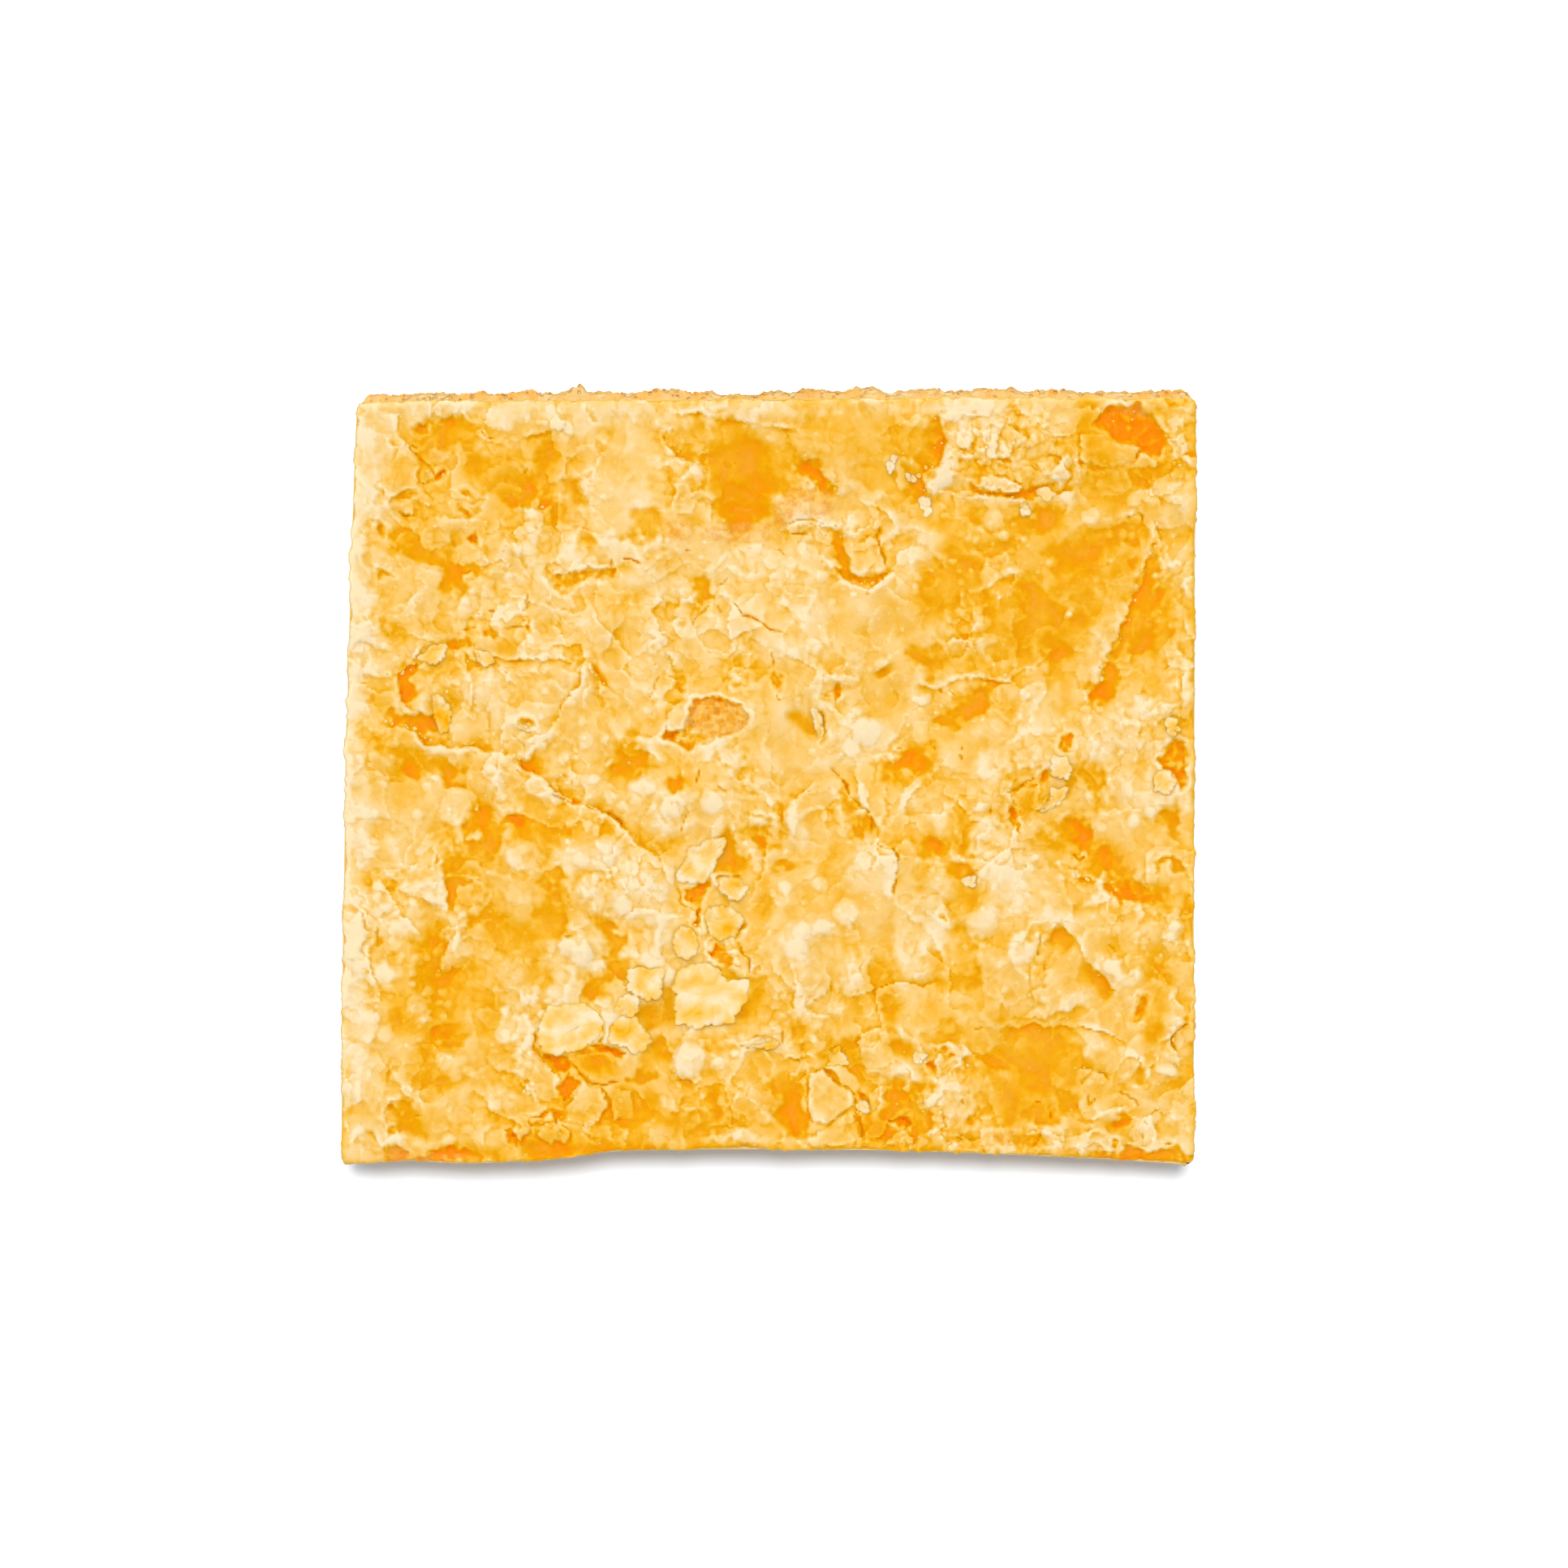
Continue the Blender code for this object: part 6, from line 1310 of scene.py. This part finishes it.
def make_crumbs():
    """Crumbs and chips of skin that lie where the skin has broken."""
    rng = np.random.default_rng(12)
    spots = []
    for place_x, place_y, half_length, half_width, _, amount in RUBBLE:
        for _ in range(int(CRUMBS_PER_PATCH * amount)):
            spots.append(rng.normal((place_x, place_y), (0.6 * half_length, 0.6 * half_width)))
    for rise, *points in LIPS:
        line = np.array(points)
        for _ in range(int(3 * rise * len(points))):
            leg = rng.integers(len(line) - 1)
            share = rng.uniform()
            spots.append(line[leg] * (1 - share) + line[leg + 1] * share + rng.normal(0, 0.35, 2))
    spots = np.clip(np.array(spots), (-39.8, -35.6), (39.8, 35.4))
    height = skin_relief(spots[:, 0], spots[:, 1])[0]
    masters = []
    for number in range(CRUMB_SHAPES):
        deselect()
        bpy.ops.mesh.primitive_ico_sphere_add(subdivisions=1, radius=1)
        master = bpy.context.object
        unit = points_of(master)
        lump = 1 + 0.35 * gradient_noise(400 + number, unit[:, 0] * 1.3 + 3, unit[:, 1] * 1.3 + unit[:, 2])
        flat = np.array((1, 0.8, 0.24 + 0.06 * number))
        put_points(master, unit * lump[:, None] * flat / MM)
        masters.append(master)
    pieces = []
    for number, (x, y) in enumerate(spots):
        master = masters[number % CRUMB_SHAPES]
        crumb = master.copy()
        crumb.data = master.data.copy()
        bpy.context.scene.collection.objects.link(crumb)
        size = rng.choice(CRUMB_SIZES, p=CRUMB_CHANCES) * rng.uniform(0.8, 1.2)
        turn, lean = rng.uniform(0, 2 * math.pi), rng.uniform(-0.3, 0.3, 2)
        unit = points_of(crumb) * size
        c, s = math.cos(turn), math.sin(turn)
        right, up = unit[:, 0] * c - unit[:, 1] * s, unit[:, 0] * s + unit[:, 1] * c
        places = np.column_stack((right, up, unit[:, 2]))
        places[:, 2] += places[:, 0] * lean[0] + places[:, 1] * lean[1]
        places += (x, y, height[number] + 0.04 * size)
        # Painted shade: each crumb's lower half gets a deeper amber tone than its top.
        shade = rng.uniform(0.3, 0.7) + 0.45 * (unit[:, 2] < 0)
        zero = np.zeros(len(unit))
        put_points(crumb, places, tone=shade, crumb=zero, crack=zero)
        pieces.append(crumb)
    for master in masters:
        bpy.data.objects.remove(master)
    return join(pieces, "loose_crumbs")


class Value:
    """A shader value that takes part in sums as a number does."""

    def __init__(self, recipe, socket):
        self.recipe, self.socket = recipe, socket

    def sum_with(self, operation, first, second):
        return self.recipe.add("ShaderNodeMath", {"operation": operation}, {0: first, 1: second})

    def __add__(self, other):
        return self.sum_with("ADD", self, other)

    def __radd__(self, other):
        return self.sum_with("ADD", other, self)

    def __sub__(self, other):
        return self.sum_with("SUBTRACT", self, other)

    def __rsub__(self, other):
        return self.sum_with("SUBTRACT", other, self)

    def __mul__(self, other):
        return self.sum_with("MULTIPLY", self, other)

    def __rmul__(self, other):
        return self.sum_with("MULTIPLY", other, self)

    def __truediv__(self, other):
        return self.sum_with("DIVIDE", self, other)


class Recipe:
    """One material and the nodes that make it."""

    def __init__(self, name, **constants):
        self.material = bpy.data.materials.new(name)
        self.material.use_nodes = True
        self.tree = self.material.node_tree
        self.shader = self.tree.nodes["Principled BSDF"]
        for socket, value in constants.items():
            self.shader.inputs[socket.replace("_", " ")].default_value = value
        self.place = self.add("ShaderNodeTexCoord", {}, {}, "Object")

    def add(self, kind, settings, values, output=0):
        node = self.tree.nodes.new(kind)
        for key, value in settings.items():
            if key == "stops":
                self.set_stops(node.color_ramp, value)
            else:
                setattr(node, key, value)
        for key, value in values.items():
            self.feed(node.inputs[key], value)
        return Value(self, node.outputs[output])

    def set_stops(self, ramp, stops):
        while len(ramp.elements) < len(stops):
            ramp.elements.new(1.0)
        for element, (position, colour) in zip(ramp.elements, stops):
            element.position = position
            element.color = colour

    def feed(self, socket, value):
        if isinstance(value, Value):
            self.tree.links.new(value.socket, socket)
        else:
            socket.default_value = value

    def mark(self, name):
        settings = {"attribute_name": name, "attribute_type": "GEOMETRY"}
        return self.add("ShaderNodeAttribute", settings, {}, "Fac")

    def noise(self, per_mm, detail=3, roughness=0.55):
        values = {"Vector": self.place, "Scale": per_mm / MM, "Detail": detail, "Roughness": roughness}
        return self.add("ShaderNodeTexNoise", {}, values, "Fac")

    def cells(self, per_mm, feature="F1"):
        values = {"Vector": self.place, "Scale": per_mm / MM}
        return self.add("ShaderNodeTexVoronoi", {"feature": feature}, values, "Distance")

    def between(self, value, low, high, start=0.0, end=1.0):
        values = {"Value": value, "From Min": low, "From Max": high, "To Min": start, "To Max": end}
        return self.add("ShaderNodeMapRange", {"interpolation_type": "SMOOTHSTEP"}, values)

    def ramp(self, value, stops):
        return self.add("ShaderNodeValToRGB", {"stops": stops}, {0: value})

    def mix(self, factor, first, second):
        return self.add("ShaderNodeMix", {"data_type": "RGBA"}, {0: factor, 6: first, 7: second}, 2)

    def finish(self, colour, roughness, relief, depth):
        self.feed(self.shader.inputs["Base Color"], colour)
        self.feed(self.shader.inputs["Roughness"], roughness)
        values = {"Height": relief, "Distance": depth * MM, "Strength": 1.0}
        self.feed(self.shader.inputs["Normal"], self.add("ShaderNodeBump", {}, values))
        return self.material


def shade_of(red, green, blue):
    """A surface colour that looks like these screen values under the scene's light."""
    screen = (np.array((red, green, blue)) / 255 + 0.055) / 1.055
    linear = np.where(screen > 0.0904, screen**2.4, screen * 1.055 / 12.92)
    return (*np.clip(linear * SURFACE_GAIN - SHEEN_LIFT, 0.0008, 1), 1.0)


def skin_stops(less_green):
    """Tone from dry cream skin to deep wet amber, as a ramp's stops."""
    stops = []
    for tone, (red, green, blue) in SKIN_COLOURS:
        stops.append((tone / TONE_TOP, shade_of(red, green - less_green, blue)))
    return stops


def skin_look(name, depth_of_light, relief_depth=0.07, less_green=0):
    """Set, sugary filling: cream where dry, amber where wet, with fine pores and crackle."""
    look = Recipe(
        name,
        Subsurface_Weight=depth_of_light,
        Subsurface_Radius=(0.85, 0.6, 0.16),
        Subsurface_Scale=LIGHT_REACH * MM,
        IOR=1.45,
        Specular_IOR_Level=0.02,
    )
    tone, crumb, crack = look.mark("tone"), look.mark("crumb"), look.mark("crack")
    cloud, grain, fine = look.noise(0.35, 4), look.noise(1.3, 4, 0.6), look.noise(5.0, 3)
    bubbles = look.between(look.cells(1.15), 0.16, 0.3, 1.0, 0.0) * look.between(cloud, 0.42, 0.62)
    pores = look.between(look.cells(2.2), 0.1, 0.22, 1.0, 0.0)
    specks = look.between(look.cells(2.0), 0.14, 0.24, 1.0, 0.0) * look.between(grain, 0.5, 0.62)
    shade = tone + (cloud - 0.5) * 0.36 + (grain - 0.5) * 0.28 - specks * 0.12
    # Painted shade: the small pores, which the bump sinks, get a slightly deeper tone.
    shade = shade - bubbles * 0.14 + pores * 0.06
    colour = look.ramp(shade / TONE_TOP, skin_stops(less_green))
    speckle = look.between(look.noise(1.2, 4, 0.6), 0.36, 0.64)
    bare = look.mix(speckle, shade_of(*CRUMB_DARK), shade_of(*CRUMB_PALE))
    colour = look.mix(look.between(crumb + (grain - 0.5) * 0.5, 0.25, 0.8), colour, bare)
    colour = look.mix(look.between(crack, 0.25, 0.95, 0.0, 0.85), colour, shade_of(*CRACK_COLOUR))
    roughness = look.between(shade, 0.3, 1.0, 0.58, 0.34)
    relief = grain * 0.4 + fine * 0.06 + bubbles * 0.2 - pores * 0.12
    return look.finish(colour, roughness, relief, relief_depth)


def base_look():
    """Butter cake: a matte tan crumb, browned to a thin crust on its underside."""
    look = Recipe(
        "butter_cake_crumb",
        Subsurface_Weight=0.15,
        Subsurface_Radius=(1.0, 0.5, 0.2),
        Subsurface_Scale=0.8 * MM,
        Specular_IOR_Level=0.2,
    )
    tone, crust = look.mark("tone"), look.mark("crust")
    cloud, grain, fine = look.noise(0.5, 3), look.noise(1.6, 5, 0.65), look.noise(6.0, 2)
    holes = look.between(look.cells(1.4), 0.12, 0.34, 1.0, 0.0)
    # Painted shade: the cell holes, which the bump sinks, also get a deeper tone.
    shade = tone + (cloud - 0.5) * 0.3 + (grain - 0.5) * 0.6 + holes * 0.2
    colour = look.ramp(shade, [(place, shade_of(*shown)) for place, shown in BASE_COLOURS])
    browned = look.between(crust + (grain - 0.5) * 0.5, 0.3, 0.9)
    colour = look.mix(browned, colour, shade_of(*CRUST_COLOUR))
    relief = grain * 0.7 + fine * 0.2 - holes * 0.5
    return look.finish(colour, 0.78 - fine * 0.1, relief, 0.35)


def floor_look():
    """A plain matte white board."""
    look = Recipe("white_floor", Specular_IOR_Level=0.0)
    grain = look.noise(0.05, 2)
    colour = look.mix(grain, (0.8, 0.85, 0.91, 1), (0.82, 0.87, 0.93, 1))
    return look.finish(colour, 0.9, grain, 0.001)


def dress(piece, look, node):
    """Gives a finished piece its material, its smooth shading and its place in the model."""
    piece.data.materials.clear()
    piece.data.materials.append(look)
    deselect()
    piece.select_set(True)
    bpy.context.view_layer.objects.active = piece
    bpy.ops.object.shade_smooth_by_angle(angle=math.radians(50))
    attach(piece, "root")
    if node:
        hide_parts(node)


def set_stage():
    """A white floor, soft light from the back left, and a camera straight above."""
    deselect()
    bpy.ops.mesh.primitive_plane_add(size=6)
    floor = bpy.context.object
    floor.name = floor.data.name = "floor"
    floor.data.materials.append(floor_look())

    world = bpy.data.worlds.new("studio")
    world.use_nodes = True
    backdrop = world.node_tree.nodes["Background"]
    backdrop.inputs["Color"].default_value = (1, 1, 1, 1)
    backdrop.inputs["Strength"].default_value = AMBIENT
    bpy.context.scene.world = world
    for name, strength, softness, lean, heading in LAMPS:
        lamp = bpy.data.lights.new(name, "SUN")
        lamp.energy = strength * math.pi
        lamp.angle = math.radians(softness)
        holder = bpy.data.objects.new(name, lamp)
        holder.rotation_euler = (math.radians(lean), 0, math.radians(heading))
        bpy.context.scene.collection.objects.link(holder)

    camera = bpy.data.cameras.new("overhead_camera")
    camera.sensor_width = SENSOR
    camera.lens = SENSOR * CAMERA_DISTANCE / FRAME_WIDTH
    camera.clip_end = 20
    holder = bpy.data.objects.new("overhead_camera", camera)
    holder.location = (CAMERA_AIM[0] * MM, CAMERA_AIM[1] * MM, (SKIN_LEVEL + CAMERA_DISTANCE) * MM)
    bpy.context.scene.collection.objects.link(holder)
    bpy.context.scene.camera = holder
    bpy.context.scene.view_settings.view_transform = "Standard"


SMALL_BLISTERS = small_blisters()
skin_surface, base_surface = skin_look("baked_skin", 0.6), base_look()
chip_surface = skin_look("dry_chips", 0.0)
baked_skin = make_skin()
dress(baked_skin, skin_surface, "gooey_layer")
filling = make_filling()
dress(filling, skin_look("gooey_filling", 0.35, 0.3, WALL_LESS_GREEN), "gooey_layer")
base = make_base()
dress(base, base_surface, "cake_base")
flakes = make_flakes()
dress(flakes, chip_surface, None)
crumbs = make_crumbs()
dress(crumbs, chip_surface, None)
set_stage()
